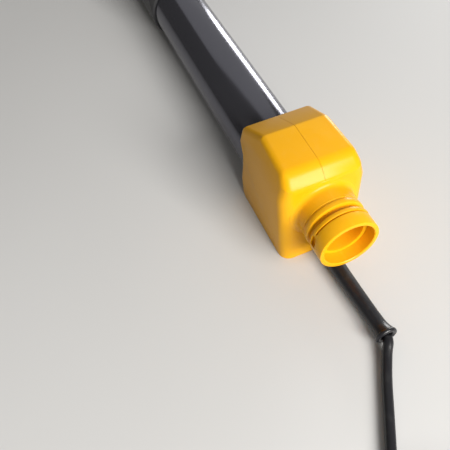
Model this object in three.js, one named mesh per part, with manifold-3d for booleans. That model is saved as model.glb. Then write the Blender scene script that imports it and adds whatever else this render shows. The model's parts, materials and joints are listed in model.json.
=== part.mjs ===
// Long-reach drywall sander: a vacuum spout and flex at the rear, an aluminium pole that carries the dust,
// a switch handle on the pole, and a gimballed disc head at the front. Millimetres, +Y forward, +Z up.
// Every place below counts y from the spout's mouth and z from the floor that the tool lies on.
import * as THREE from 'three';
import { mergeVertices } from 'three/addons/utils/BufferGeometryUtils.js';
import { ConvexGeometry } from 'three/addons/geometries/ConvexGeometry.js';
import Module from 'manifold-3d';

const wasm = await Module();
wasm.setup();

// Driving dimensions
const LENGTH = 1150;                 // spout mouth to the front of the brush skirt
const GAP = 0.3;                     // between pieces that touch
const SPLIT = 0.15;                  // each clamshell half stops this far from the middle plane
const SIDES = 16;                    // facets round a small turned piece
const ROUND = 28;                    // facets round a large one
const FAR = 400;                     // longer than any cut

const TUBE = { r: 25, bore: 23, z: 28.3, rear: 70, front: 858 };
const SPOUT = { r: 20.75, bore: 17.6, z: 45, root: 38 };
const DUCT = { r: 17.3, bore: 14.6, mouth: 8.5 };
const SHELL = 3;                     // wall of the rear housing
const BOOT = { z: 7.2, root: 34.5, end: -49.4, sway: 2.5 };
const CORD = { r: 3.3 };
const HANDLE = { rear: 330, front: 560, r: 28, top: 82, wall: 2.6 };
const PIVOT_Z = 66;                  // both gimbal axes
const HEAD = { y: LENGTH - 120.4, shroud: 117, skirt: 120.4, motor: 42 };
const YOKE = { socket: 820, front: 872, inner: 66, outer: 74, screw: 838 };

const tool = new THREE.Group();
tool.position.y = -LENGTH / 2;

// Materials
function finish(color, roughness, metalness = 0) {
  return new THREE.MeshStandardMaterial({ color, roughness, metalness });
}
const yellow = finish(0xf0ab1e, 0.42);
const black = finish(0x1b1c1f, 0.55);
const rubber = finish(0x141518, 0.75);
const anodised = finish(0x55565c, 0.35, 0.9);
const castAlloy = finish(0x8b8d90, 0.5, 0.8);
const steel = finish(0x9c9ea2, 0.3, 1);
const copper = finish(0xa8633a, 0.4, 0.9);
const abrasive = finish(0x8a7458, 0.95);
const foam = finish(0x3c3f44, 0.9);

// Solids
function welded(geometry) {
  const bare = geometry.index ? geometry.toNonIndexed() : geometry.clone();
  bare.deleteAttribute('normal');
  bare.deleteAttribute('uv');
  return mergeVertices(bare, 1e-4);
}
function enclosedVolume(geometry) {
  const p = geometry.attributes.position;
  const index = geometry.index.array;
  const [a, b, c] = [new THREE.Vector3(), new THREE.Vector3(), new THREE.Vector3()];
  let sum = 0;
  for (let i = 0; i < index.length; i += 3) {
    a.fromBufferAttribute(p, index[i]);
    b.fromBufferAttribute(p, index[i + 1]);
    c.fromBufferAttribute(p, index[i + 2]);
    sum += a.dot(b.cross(c)) / 6;
  }
  return sum;
}
function facingOut(geometry) {
  if (enclosedVolume(geometry) < 0) {
    const index = geometry.index.array;
    for (let i = 0; i < index.length; i += 3) [index[i], index[i + 1]] = [index[i + 1], index[i]];
  }
  return geometry;
}
function solid(geometry) {
  const { index, attributes } = facingOut(welded(geometry));
  return new wasm.Manifold(new wasm.Mesh({
    numProp: 3,
    vertProperties: new Float32Array(attributes.position.array),
    triVerts: new Uint32Array(index.array),
  }));
}
function geometryOf(manifold) {
  const mesh = manifold.getMesh();
  const geometry = new THREE.BufferGeometry();
  geometry.setAttribute('position', new THREE.BufferAttribute(mesh.vertProperties, 3));
  geometry.setIndex(new THREE.BufferAttribute(mesh.triVerts, 1));
  return geometry;
}
function piece(name, shape, material) {
  const mesh = new THREE.Mesh(shape.isBufferGeometry ? facingOut(welded(shape)) : geometryOf(shape), material);
  mesh.name = name;
  tool.add(mesh);
  return mesh;
}
const joined = (first, ...rest) => rest.reduce((sum, other) => sum.add(other), first);
const cut = (first, ...rest) => rest.reduce((left, other) => left.subtract(other), first);

function block([x0, x1], [y0, y1], [z0, z1]) {
  const box = new THREE.BoxGeometry(x1 - x0, y1 - y0, z1 - z0);
  return solid(box.translate((x0 + x1) / 2, (y0 + y1) / 2, (z0 + z1) / 2));
}
function hull(points) {
  return solid(new ConvexGeometry(points.map(([x, y, z]) => new THREE.Vector3(x, y, z))));
}
const mirrored = (points) => points.flatMap(([x, y, z]) => [[x, y, z], [-x, y, z]]);
const corners = ([x0, x1], [y0, y1], [z0, z1]) =>
  [x0, x1].flatMap((x) => [y0, y1].flatMap((y) => [z0, z1].map((z) => [x, y, z])));

// A closed profile of [radius, place along the axis], turned about X, Y or Z.
function turned(profile, axis, [x, y, z], sides = SIDES) {
  const loop = [...profile, profile[0]].map(([r, h]) => new THREE.Vector2(r, h));
  const geometry = new THREE.LatheGeometry(loop, sides);
  if (axis === 'z') geometry.rotateX(Math.PI / 2);
  if (axis === 'x') geometry.rotateZ(-Math.PI / 2);
  return solid(geometry.translate(x, y, z));
}
const ring = (inner, outer, [from, to], axis, at, sides) =>
  turned([[inner, from], [outer, from], [outer, to], [inner, to]], axis, at, sides);
function rod(radius, [from, to], axis, [x, y, z], sides = 14) {
  const geometry = new THREE.CylinderGeometry(radius, radius, to - from, sides).translate(0, (from + to) / 2, 0);
  if (axis === 'z') geometry.rotateX(Math.PI / 2);
  if (axis === 'x') geometry.rotateZ(-Math.PI / 2);
  return solid(geometry.translate(x, y, z));
}
function alongCurve(points, radius, steps, sides = 8, curve = null) {
  const route = curve ?? new THREE.CatmullRomCurve3(points.map((p) => new THREE.Vector3(...p)), false, 'centripetal');
  const section = new THREE.Shape();
  for (let i = 0; i < sides; i += 1) {
    const angle = (i / sides) * 2 * Math.PI;
    const spot = [radius * Math.cos(angle), radius * Math.sin(angle)];
    if (i === 0) section.moveTo(...spot);
    else section.lineTo(...spot);
  }
  return new THREE.ExtrudeGeometry(section, { steps, extrudePath: route, bevelEnabled: false });
}
class Helix extends THREE.Curve {
  constructor(radius, turns, bottom, top, [x, y]) {
    super();
    Object.assign(this, { radius, turns, bottom, top, x, y });
  }
  getPoint(t, target = new THREE.Vector3()) {
    const angle = t * this.turns * 2 * Math.PI;
    const z = this.bottom + t * (this.top - this.bottom);
    return target.set(this.x + this.radius * Math.cos(angle), this.y + this.radius * Math.sin(angle), z);
  }
}
function spring(radius, wire, turns, [bottom, top], at) {
  const helix = new Helix(radius, turns, bottom + wire, top - wire, at);
  return alongCurve(null, wire, turns * 7, 4, helix);
}

// Clamshells: both halves, with screws that go in from the right-hand side.
const HALF = { left: [-FAR, -SPLIT], right: [SPLIT, FAR] };
const halfOf = (body, side) => body.intersect(block(HALF[side], [-FAR, 2 * LENGTH], [-FAR, FAR]));
const SCREW = { head: 3.3, headLength: 2.2, shank: 1.6, tip: -9, boss: 4.3 };
function screwAt(y, z, face) {
  const { head, headLength, shank, tip } = SCREW;
  const profile = [[0, tip], [shank, tip], [shank, face - headLength], [head, face - headLength], [head, face],
    [1.4, face], [1.4, face - 1.2], [0, face - 1.2]];
  return turned(profile, 'x', [0, y, z], 10);
}
function screwHole(y, z, face) {
  const { head, headLength, shank, tip } = SCREW;
  const seat = face - headLength - GAP;
  return joined(
    rod(shank + GAP, [tip - 1, seat + 1], 'x', [0, y, z], 8),
    rod(head + GAP, [seat, face + 20], 'x', [0, y, z], 10),
  );
}

// Rear housing: [half-width, y, z] of one side's corners, from the foot up.
const HOUSING = [
  [25.3, 34.3, 0], [27.7, 40.3, 0], [29.9, 46, 0], [29.2, 106, 0],
  [25.6, 34.6, 31], [27.8, 40.3, 31], [30.6, 43.9, 29], [30.6, 103.6, 29],
  [25.4, 35, 56], [30.1, 42.5, 54.4], [26.2, 106, 56], [28.9, 102, 52],
  [26.4, 37.4, 66.3], [26.8, 42.6, 66.5], [24.3, 77.5, 73.6], [24.4, 43, 77.3],
  [23.4, 45, 79.3], [21.7, 78.8, 80.8], [23.1, 105.3, 67.3], [8, 34.6, 70],
];
const HOUSING_SCREWS = [[99, 60, 24.5], [47, 70, 24], [41.5, 19, 27.5]];

function rearHousing() {
  const middle = [0, 70, 40];
  const inward = (value, centre) => value - SHELL * Math.sign(value - centre);
  const inner = HOUSING.map(([x, y, z]) => [inward(x, 0), inward(y, middle[1]), inward(z, middle[2])]);
  const { r, bore, z, root } = SPOUT;
  const spout = turned([[0, root + 2], [26, root], [21, 29], [20.4, 19.6], [21.1, 19], [21.1, 17], [19, 16.8],
    [19, 14], [20.9, 13.8], [20.9, 12], [19.4, 12], [19.4, 10], [r, 10], [r, 0], [0, 0]],
  'y', [0, 0, z], ROUND);
  const tubeRest = cut(block([-30, 30], [74, 78], [1, 50]), rod(TUBE.r + GAP, [60, 90], 'y', [0, 0, TUBE.z], ROUND));
  const shell = joined(cut(hull(mirrored(HOUSING)), hull(mirrored(inner))), spout,
    tubeRest.intersect(hull(mirrored(HOUSING))));
  const bosses = HOUSING_SCREWS.map(([y, bossZ]) =>
    rod(SCREW.boss, [-FAR, FAR], 'x', [0, y, bossZ], 10).intersect(hull(mirrored(HOUSING))));
  return cut(joined(shell, ...bosses),
    rod(bore, [-1, root + 4], 'y', [0, 0, z], ROUND),
    rod(TUBE.r + GAP, [78, 120], 'y', [0, 0, TUBE.z], ROUND),
    rod(6.2, [25, root + 3], 'y', [0, 0, BOOT.z], 20),
    ...HOUSING_SCREWS.map((place) => screwHole(...place)));
}
const housing = rearHousing();
piece('rear_housing_left', halfOf(housing, 'left'), yellow);
piece('rear_housing_right', halfOf(housing, 'right'), yellow);
HOUSING_SCREWS.forEach((place, i) => piece(`housing_screw_${i + 1}`, screwAt(...place), steel));

// Dust path: spout to pole, inside the rear housing.
const ductRoute = [[0, DUCT.mouth, 45], [0, 26, 45], [0, 42, 45], [0, 52, 39], [0, 62, 31.5], [0, 72, 28.3],
  [0, 84, 28.3]];
const ductInside = [[0, 7, 45], ...ductRoute.slice(1, -1), [0, 86, 28.3]];
piece('dust_duct', cut(solid(alongCurve(ductRoute, DUCT.r - GAP, 12, 16)),
  solid(alongCurve(ductInside, DUCT.bore, 12, 16))), yellow);
piece('duct_seal', ring(DUCT.r + GAP, TUBE.bore - GAP, [72, 82], 'y', [0, 0, TUBE.z]), rubber);

// Mains connection, inside the rear housing.
piece('inner_lead', alongCurve([[0, 42, 7.2], [0, 48, 7.2], [5, 53.5, 7.4], [13, 58, 8.4], [20, 61, 13], [22.8, 62, 24],
  [22.8, 62, 40], [18.6, 61, 54], [12, 60, 60.6]], CORD.r - GAP, 18), rubber);
piece('cord_clamp', cut(block([-9, 9], [42.5, 47], [7.6, 13.4]), rod(CORD.r + GAP, [40, 50], 'y', [0, 0, 7.2], 16)),
  black);
piece('terminal_block', cut(block([-13, 13], [53, 63], [65, 73]),
  ...[-8, 0, 8].map((x) => rod(1.8, [69, 80], 'z', [x, 58, 0], 12))), black);
piece('power_module', joined(block([-17, 17], [66, 93], [56, 65]), block([-13, 13], [70, 90], [65, 68])), black);

// Pole
const loomSlot = block([-6, 6], [80, 130], [45, 60]);
const handleSlot = block([-6, 6], [456, 482], [45, 60]);
piece('pole_tube', cut(ring(TUBE.bore, TUBE.r, [TUBE.rear, TUBE.front], 'y', [0, 0, TUBE.z], ROUND), loomSlot,
  handleSlot), anodised);
piece('wiring_loom', alongCurve([[0, 84, 55.6], [0, 84.4, 52], [0, 88, 48], [0, 96, 46.2], [0, 110, 46], [0, 440, 46],
  [0, 800, 46]], 3.2, 16, 6), rubber);
piece('pole_grip', turned([[TUBE.r + GAP, 620], [28, 620], [28, 634], [27, 636], [27, 744], [28, 746], [28, 760],
  [TUBE.r + GAP, 760]], 'y', [0, 0, TUBE.z], ROUND), rubber);

// Switch handle round the pole
const TRIGGER = { rear: 382, front: 470, half: 8.5, pin: [465, 78], pinR: 1.5 };
const DIAL = { y: 505, z: 74.5, r: 12, half: 4 };
const LOCK = { y: 440, z: 67, r: 5 };
const HANDLE_SCREWS = [[366, 64, 23.5], [530, 63, 23.5]];
function handleShell() {
  const { rear, front, r, top, wall } = HANDLE;
  const ringAt = (y, radius) => Array.from({ length: 20 }, (_, i) => {
    const angle = (i / 20) * 2 * Math.PI;
    return [radius * Math.cos(angle), y, TUBE.z + radius * Math.sin(angle)];
  });
  const shoulder = mirrored([[21, 362, top], [21, 528, top], [26.5, 348, 58], [26.5, 544, 58]]);
  const outer = hull([...ringAt(rear, r - 0.6), ...ringAt(front, r - 0.6), ...ringAt(rear + 8, r),
    ...ringAt(front - 8, r), ...shoulder]);
  const inner = hull(mirrored([[21 - wall, 364, top - wall], [21 - wall, 526, top - wall], [23.4, 352, 57],
    [23.4, 540, 57], [22, 352, 40], [22, 540, 40]]));
  const pinBoss = block([-19, 19], [TRIGGER.pin[0] - 4, TRIGGER.pin[0] + 7], [72, top - 1]);
  const bosses = HANDLE_SCREWS.map(([y, z]) => rod(SCREW.boss, [-FAR, FAR], 'x', [0, y, z], 10).intersect(outer));
  const { half } = TRIGGER;
  return cut(joined(cut(outer, inner), pinBoss, ...bosses),
    rod(TUBE.r + GAP, [rear - 1, front + 1], 'y', [0, 0, TUBE.z], ROUND),
    block([-half - GAP, half + GAP], [TRIGGER.rear - 1, TRIGGER.front + 1], [68, 95]),
    rod(TRIGGER.pinR + GAP, [-17.6, 17.6], 'x', [0, ...TRIGGER.pin], 12),
    block([-DIAL.half - 0.6, DIAL.half + 0.6], [DIAL.y - 13, DIAL.y + 13], [70, 95]),
    rod(LOCK.r + GAP, [-40, -12], 'x', [0, LOCK.y, LOCK.z], 20),
    ...HANDLE_SCREWS.map((place) => screwHole(...place)));
}
const handle = handleShell();
piece('handle_left', halfOf(handle, 'left'), black);
piece('handle_right', halfOf(handle, 'right'), black);
HANDLE_SCREWS.forEach((place, i) => piece(`handle_screw_${i + 1}`, screwAt(...place), steel));

const { half: triggerHalf, rear: triggerRear, front: triggerFront } = TRIGGER;
piece('trigger', cut(hull([...corners([-triggerHalf, triggerHalf], [triggerRear + 4, triggerFront - 1], [75, 83]),
  ...corners([-triggerHalf + 2, triggerHalf - 2], [triggerRear, triggerFront - 8], [76, 87])]),
rod(TRIGGER.pinR + GAP, [-20, 20], 'x', [0, ...TRIGGER.pin], 12)), yellow);
piece('trigger_pin', rod(TRIGGER.pinR, [-17, 17], 'x', [0, ...TRIGGER.pin], 12), steel);
piece('switch_module', joined(block([-11, 11], [384, 452], [55, 59]), block([-10, 10], [400, 452], [59, 65])), black);
piece('trigger_spring', spring(4, 0.5, 5, [59.3, 74.7], [0, 391]), steel);
piece('lock_button', joined(rod(LOCK.r, [-28.5, -14], 'x', [0, LOCK.y, LOCK.z], 20),
  rod(LOCK.r + 1.2, [-18, -16], 'x', [0, LOCK.y, LOCK.z], 20)), black);
const dialRim = turned([[2, -3.4], [11, -3.4], [DIAL.r, -DIAL.half + 1], [DIAL.r, DIAL.half - 1], [11, 3.4], [2, 3.4]],
  'x', [0, DIAL.y, DIAL.z]);
piece('speed_dial', joined(dialRim, rod(2.4, [-9, 9], 'x', [0, DIAL.y, DIAL.z], 16)), black);
piece('speed_control', cut(block([9.4, 17.6], [497, 513], [66, 78.5]), rod(2.8, [8, 12], 'x', [0, DIAL.y, DIAL.z], 16)),
  black);

// Yoke: a die-cast socket on the pole with two arms that straddle the head.
function yoke() {
  const { socket, front, inner, outer } = YOKE;
  const arms = [-1, 1].map((side) => {
    const out = (a, b) => [Math.min(side * a, side * b), Math.max(side * a, side * b)];
    const root = corners(out(14, 27), [socket + 8, front - 2], [30, 52]);
    const elbow = corners(out(inner, outer), [front + 34, front + 52], [57, 75]);
    const tip = corners(out(inner, outer), [HEAD.y - 9, HEAD.y + 9], [57, 75]);
    return joined(hull([...root, ...elbow]), hull([...elbow, ...tip]),
      rod(12, out(inner, outer), 'x', [0, HEAD.y, PIVOT_Z], SIDES));
  });
  return cut(joined(rod(28, [socket, front], 'y', [0, 0, TUBE.z], ROUND), ...arms),
    rod(TUBE.r + GAP, [socket - 1, front + 1], 'y', [0, 0, TUBE.z], ROUND),
    rod(4.3, [-FAR, FAR], 'x', [0, HEAD.y, PIVOT_Z]), rod(2.1, [52, 57], 'z', [0, YOKE.screw, 0], 12));
}
piece('yoke', yoke(), castAlloy);
piece('socket_screw', turned([[0, 53.6], [1.8, 53.6], [1.8, 56.6], [3.6, 56.6], [3.6, 59], [0, 59]], 'z',
  [0, YOKE.screw, 0], 12), steel);

// Gimbal: the ring pitches in the yoke, and the head rolls in the ring.
const RING = { inner: 52, outer: 58, half: 4.5 };
const gimbalCentre = [0, HEAD.y, PIVOT_Z];
piece('gimbal_ring', cut(joined(ring(RING.inner, RING.outer, [-RING.half, RING.half], 'z', gimbalCentre, ROUND),
  ...[[-65.6, -55], [55, 65.6]].map((span) => rod(9, span, 'x', gimbalCentre, 16))),
rod(4.3, [-FAR, FAR], 'x', gimbalCentre), rod(3.3, [-FAR, FAR], 'y', gimbalCentre, 16)), castAlloy);
for (const [name, side] of [['left', -1], ['right', 1]]) {
  const pin = turned([[0, 56.5], [4, 56.5], [4, 74.3], [8, 74.3], [8, 77], [6.5, 78], [0, 78]].map(([r, h]) =>
    [r, side * h]), 'x', gimbalCentre, 24);
  piece(`pitch_pin_${name}`, pin, steel);
}
for (const [name, side] of [['rear', -1], ['front', 1]]) {
  const pin = turned([[0, 43.5], [3, 43.5], [3, 58.3], [5.4, 58.3], [5.4, 61], [0, 61]].map(([r, h]) =>
    [r, side * h]), 'y', gimbalCentre, 20);
  piece(`roll_pin_${name}`, pin, steel);
}

// Head: motor, dust shroud and its outlet
const head = [0, HEAD.y, 0];
const MOTOR = { foot: 30.3, top: 96, wall: 3.5 };
function motorHousing() {
  const { foot, top, wall } = MOTOR;
  const r = HEAD.motor;
  const cup = turned([[13.4, foot], [r - 3, foot], [r, foot + 3], [r, top], [r - wall, top], [r - wall, foot + 4],
    [17, foot + 4], [17, foot + 12], [13.4, foot + 12]], 'z', head, ROUND);
  const bosses = [[-50.6, -40], [40, 50.6]].map((span) => rod(6, span, 'y', gimbalCentre, 12));
  return cut(joined(cup, ...bosses), rod(3.3, [-FAR, FAR], 'y', gimbalCentre, 16));
}
piece('motor_housing', motorHousing(), yellow);
const capVents = Array.from({ length: 8 }, (_, i) => {
  const slot = new THREE.BoxGeometry(20, 3.4, 4).translate(34, 0, 100.5).rotateZ((i / 8) * 2 * Math.PI);
  return solid(slot.translate(0, HEAD.y, 0));
});
piece('motor_cap', cut(turned([[11.3, 96.3], [HEAD.motor, 96.3], [HEAD.motor, 102], [38, 107], [0, 108.5],
  [0, 104.5], [11.3, 104.5]], 'z', head, ROUND), ...capVents), black);
piece('stator', cut(ring(23, 38, [50, 86], 'z', head, ROUND),
  ...[0, 60, 120].map((turn) => {
    const slot = new THREE.BoxGeometry(90, 3, 10).translate(0, 0, 84).rotateZ((turn * Math.PI) / 180);
    return solid(slot.translate(0, HEAD.y, 0)).intersect(rod(30, [70, 90], 'z', head, SIDES));
  })), copper);
piece('lower_bearing', ring(5.3, 13, [MOTOR.foot + 2, MOTOR.foot + 11], 'z', head), steel);
piece('upper_bearing', ring(5.3, 11, [96.6, 103.6], 'z', head), steel);

const GUIDES = [90, 210, 330].map((degrees) => {
  const angle = (degrees * Math.PI) / 180;
  return [108 * Math.cos(angle), HEAD.y + 108 * Math.sin(angle)];
});
const PORT = { z: 45.5, r: 14, bore: 11.5, rear: HEAD.y - 74, front: HEAD.y - 45 };
function shroud() {
  const r = HEAD.shroud;
  const dome = turned([[14, 27], [60, 26.2], [r - 3.4, 17], [r - 3.4, 8.5], [r, 8.5], [r, 20], [60, 29.4], [14, 30]],
    'z', head, ROUND);
  const duct = hull(corners([-13.6, 13.6], [PORT.rear + 4, PORT.front], [24, 44]));
  const outlet = joined(rod(PORT.r, [PORT.rear, PORT.front], 'y', [0, 0, PORT.z], SIDES), duct);
  return cut(joined(dome, outlet),
    rod(PORT.bore, [PORT.rear - 1, PORT.front - 4], 'y', [0, 0, PORT.z], SIDES),
    rod(9.6, [10, PORT.z], 'z', [0, (PORT.rear + PORT.front) / 2 + 1, 0], SIDES),
    ...GUIDES.map(([x, y]) => rod(2.1, [10, 40], 'z', [x, y, 0], 8)));
}
piece('dust_shroud', shroud(), black);

// Rotor, pad and disc turn as one.
piece('rotor', turned([[0, 9], [5, 9], [5, 50], [22.4, 50], [22.4, 86], [5, 86], [5, 103], [0, 103]], 'z', head, SIDES),
  steel);
const dustHoles = (from, to) => Array.from({ length: 8 }, (_, i) => {
  const angle = ((i + 0.5) / 8) * 2 * Math.PI;
  return rod(5, [from, to], 'z', [80 * Math.cos(angle), HEAD.y + 80 * Math.sin(angle), 0], 8);
});
piece('backing_plate', cut(turned([[5.3, 7.8], [107, 7.8], [108, 9], [108, 10.6], [30, 12], [12, 12], [9, 17],
  [5.3, 17]], 'z', head, ROUND), ...dustHoles(5, 15)), black);
piece('clamp_nut', cut(rod(8.5, [17.3, 22], 'z', head, 6), rod(5.3, [16, 23], 'z', head)), steel);
piece('foam_pad', cut(rod(112, [1.5, 7.5], 'z', head, ROUND), ...dustHoles(0, 9)), foam);
piece('sanding_disc', cut(rod(112.5, [0, 1.2], 'z', head, ROUND), ...dustHoles(-1, 3)), abrasive);

// Brush skirt: floats on three guide screws and springs.
const tabs = GUIDES.map(([x, y], i) => {
  const tab = new THREE.BoxGeometry(16, 12, 2.6).translate(110, 0, 24.5);
  return cut(solid(tab.rotateZ(((90 + 120 * i) * Math.PI) / 180).translate(0, HEAD.y, 0)),
    rod(2.7, [20, 30], 'z', [x, y, 0], 8));
});
piece('skirt_ring', joined(ring(HEAD.shroud + 0.5, HEAD.skirt, [5, 25.8], 'z', head, ROUND), ...tabs), black);
piece('brush_strip', ring(114.2, HEAD.skirt - 0.6, [0, 4.7], 'z', head, ROUND), foam);
GUIDES.forEach(([x, y], i) => {
  piece(`guide_screw_${i + 1}`, turned([[0, 17.5], [1.8, 17.5], [1.8, 35], [5, 35], [5, 38], [0, 38]], 'z', [x, y, 0],
    10), steel);
  piece(`skirt_spring_${i + 1}`, spring(3.8, 0.45, 4, [26.1, 34.7], [x, y]), steel);
});

// Flexible dust hose from the yoke to the shroud's outlet
piece('hose_cuff', ring(14.6, TUBE.r, [TUBE.front + GAP, YOKE.front], 'y', [0, 0, TUBE.z]), rubber);
const hoseRoute = [[0, 862, 28.3], [0, 876, 28.6], [0, 890, 34], [0, 905, 43], [0, 920, 46.4], [0, 940, 45.5],
  [0, PORT.rear - GAP, PORT.z]];
const hoseInside = [[0, 860, 28.3], ...hoseRoute.slice(1, -1), [0, PORT.rear + 2, PORT.z]];
piece('dust_hose', cut(solid(alongCurve(hoseRoute, 14, 10, 14)), solid(alongCurve(hoseInside, 12, 10, 14))), rubber);

// Flex: the boot at the housing, the free stretch, the coil and the plug
const bootStations = [[BOOT.root, 5.9], [24, 5.8], [0, 5.5], [-30, 5.3], [-40, 5.4], [-45, 6.2], [-47.6, 7.4],
  [BOOT.end, 7.5]];
function boot() {
  const sway = (y) => BOOT.sway * ((BOOT.root - y) / (BOOT.root - BOOT.end)) ** 2;
  const sections = bootStations.map(([y, r]) => Array.from({ length: 12 }, (_, i) => {
    const angle = (i / 12) * 2 * Math.PI;
    return [sway(y) + r * Math.cos(angle), y, Math.max(BOOT.z, r + 0.1) + r * Math.sin(angle)];
  }));
  const spans = sections.slice(1).map((section, i) => hull([...sections[i], ...section]));
  const flange = block([-9, 9], [38.4, 41.4], [3.4, 13.4]);
  return joined(...spans, rod(5.9, [BOOT.root - 0.1, 39], 'y', [0, 0, BOOT.z], 16), flange);
}
piece('cord_boot', boot(), rubber);

const COIL = { x: -29.7, y: -206.1, middle: 40, half: 13.4, height: 27 };
const PLUG = { y: COIL.y - 57.4, z: 11, relief: -7, rear: 11, face: 51, pin: 2.4, pitch: 9.5 };
piece('power_cord', alongCurve([[2.5, BOOT.end - 0.6, 7.6], [2.3, -52.5, 7.2], [0.5, -56.5, 5.6], [-4, -63, 4],
  [-10.7, -72.1, 3.4], [-20, -87.6, 3.4], [-31, -107.2, 3.4], [-58, -154.7, 3.4]], CORD.r, 13),
rubber);
piece('cord_coil', turned([[COIL.middle - COIL.half, 2], [COIL.middle - COIL.half + 2, 0],
  [COIL.middle + COIL.half - 2, 0], [COIL.middle + COIL.half, 2], [COIL.middle + COIL.half, COIL.height - 3],
  [COIL.middle + COIL.half - 3, COIL.height], [COIL.middle - COIL.half + 3, COIL.height],
  [COIL.middle - COIL.half, COIL.height - 3]], 'z', [COIL.x, COIL.y, 0], SIDES), rubber);

piece('cord_tail', alongCurve([[-37, PLUG.y, 14.5], [-28, PLUG.y, 12.4], [-18, PLUG.y, PLUG.z],
  [PLUG.relief - GAP, PLUG.y, PLUG.z]], CORD.r, 4), rubber);
function plug() {
  const { y, z, relief: tip, rear, face, pitch } = PLUG;
  const outline = (x, width, height) => corners([x, x], [y - width, y + width], [z - height + 2, z + height - 2])
    .concat(corners([x, x], [y - width + 3, y + width - 3], [z - height, z + height]));
  const body = hull([...outline(rear, 8, 7.5), ...outline(rear + 14, 15, 11), ...outline(face - 8, 15, 11),
    ...outline(face, 16, 10.5)]);
  const relief = turned([[0, tip], [4.4, tip], [6.6, rear + 2], [0, rear + 2]], 'x', [0, y, z], 16);
  return cut(joined(body, relief),
    ...[-pitch, pitch].map((side) => rod(PLUG.pin + GAP, [face - 8, face + 1], 'x', [0, y + side, z], 14)));
}
piece('plug_body', plug(), rubber);
for (const [name, side] of [['left', 1], ['right', -1]]) {
  const { pin, face } = PLUG;
  piece(`plug_pin_${name}`, turned([[0, face - 7.6], [pin, face - 7.6], [pin, face + 17.5], [pin - 1, face + 19],
    [0, face + 19]], 'x', [0, PLUG.y + side * PLUG.pitch, PLUG.z], 14), steel);
}

export default tool;
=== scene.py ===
# %% [markdown]
# # A long-reach drywall sander
# The tool lies on a floor: a yellow housing with a vacuum spout at the rear, an aluminium pole, a switch handle
# and a gimballed sanding head. The frame below is the engineering model. Every new piece is built in its place,
# in metres, with +Y forward along the pole and +Z up, so nothing has to be moved afterwards.

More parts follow.
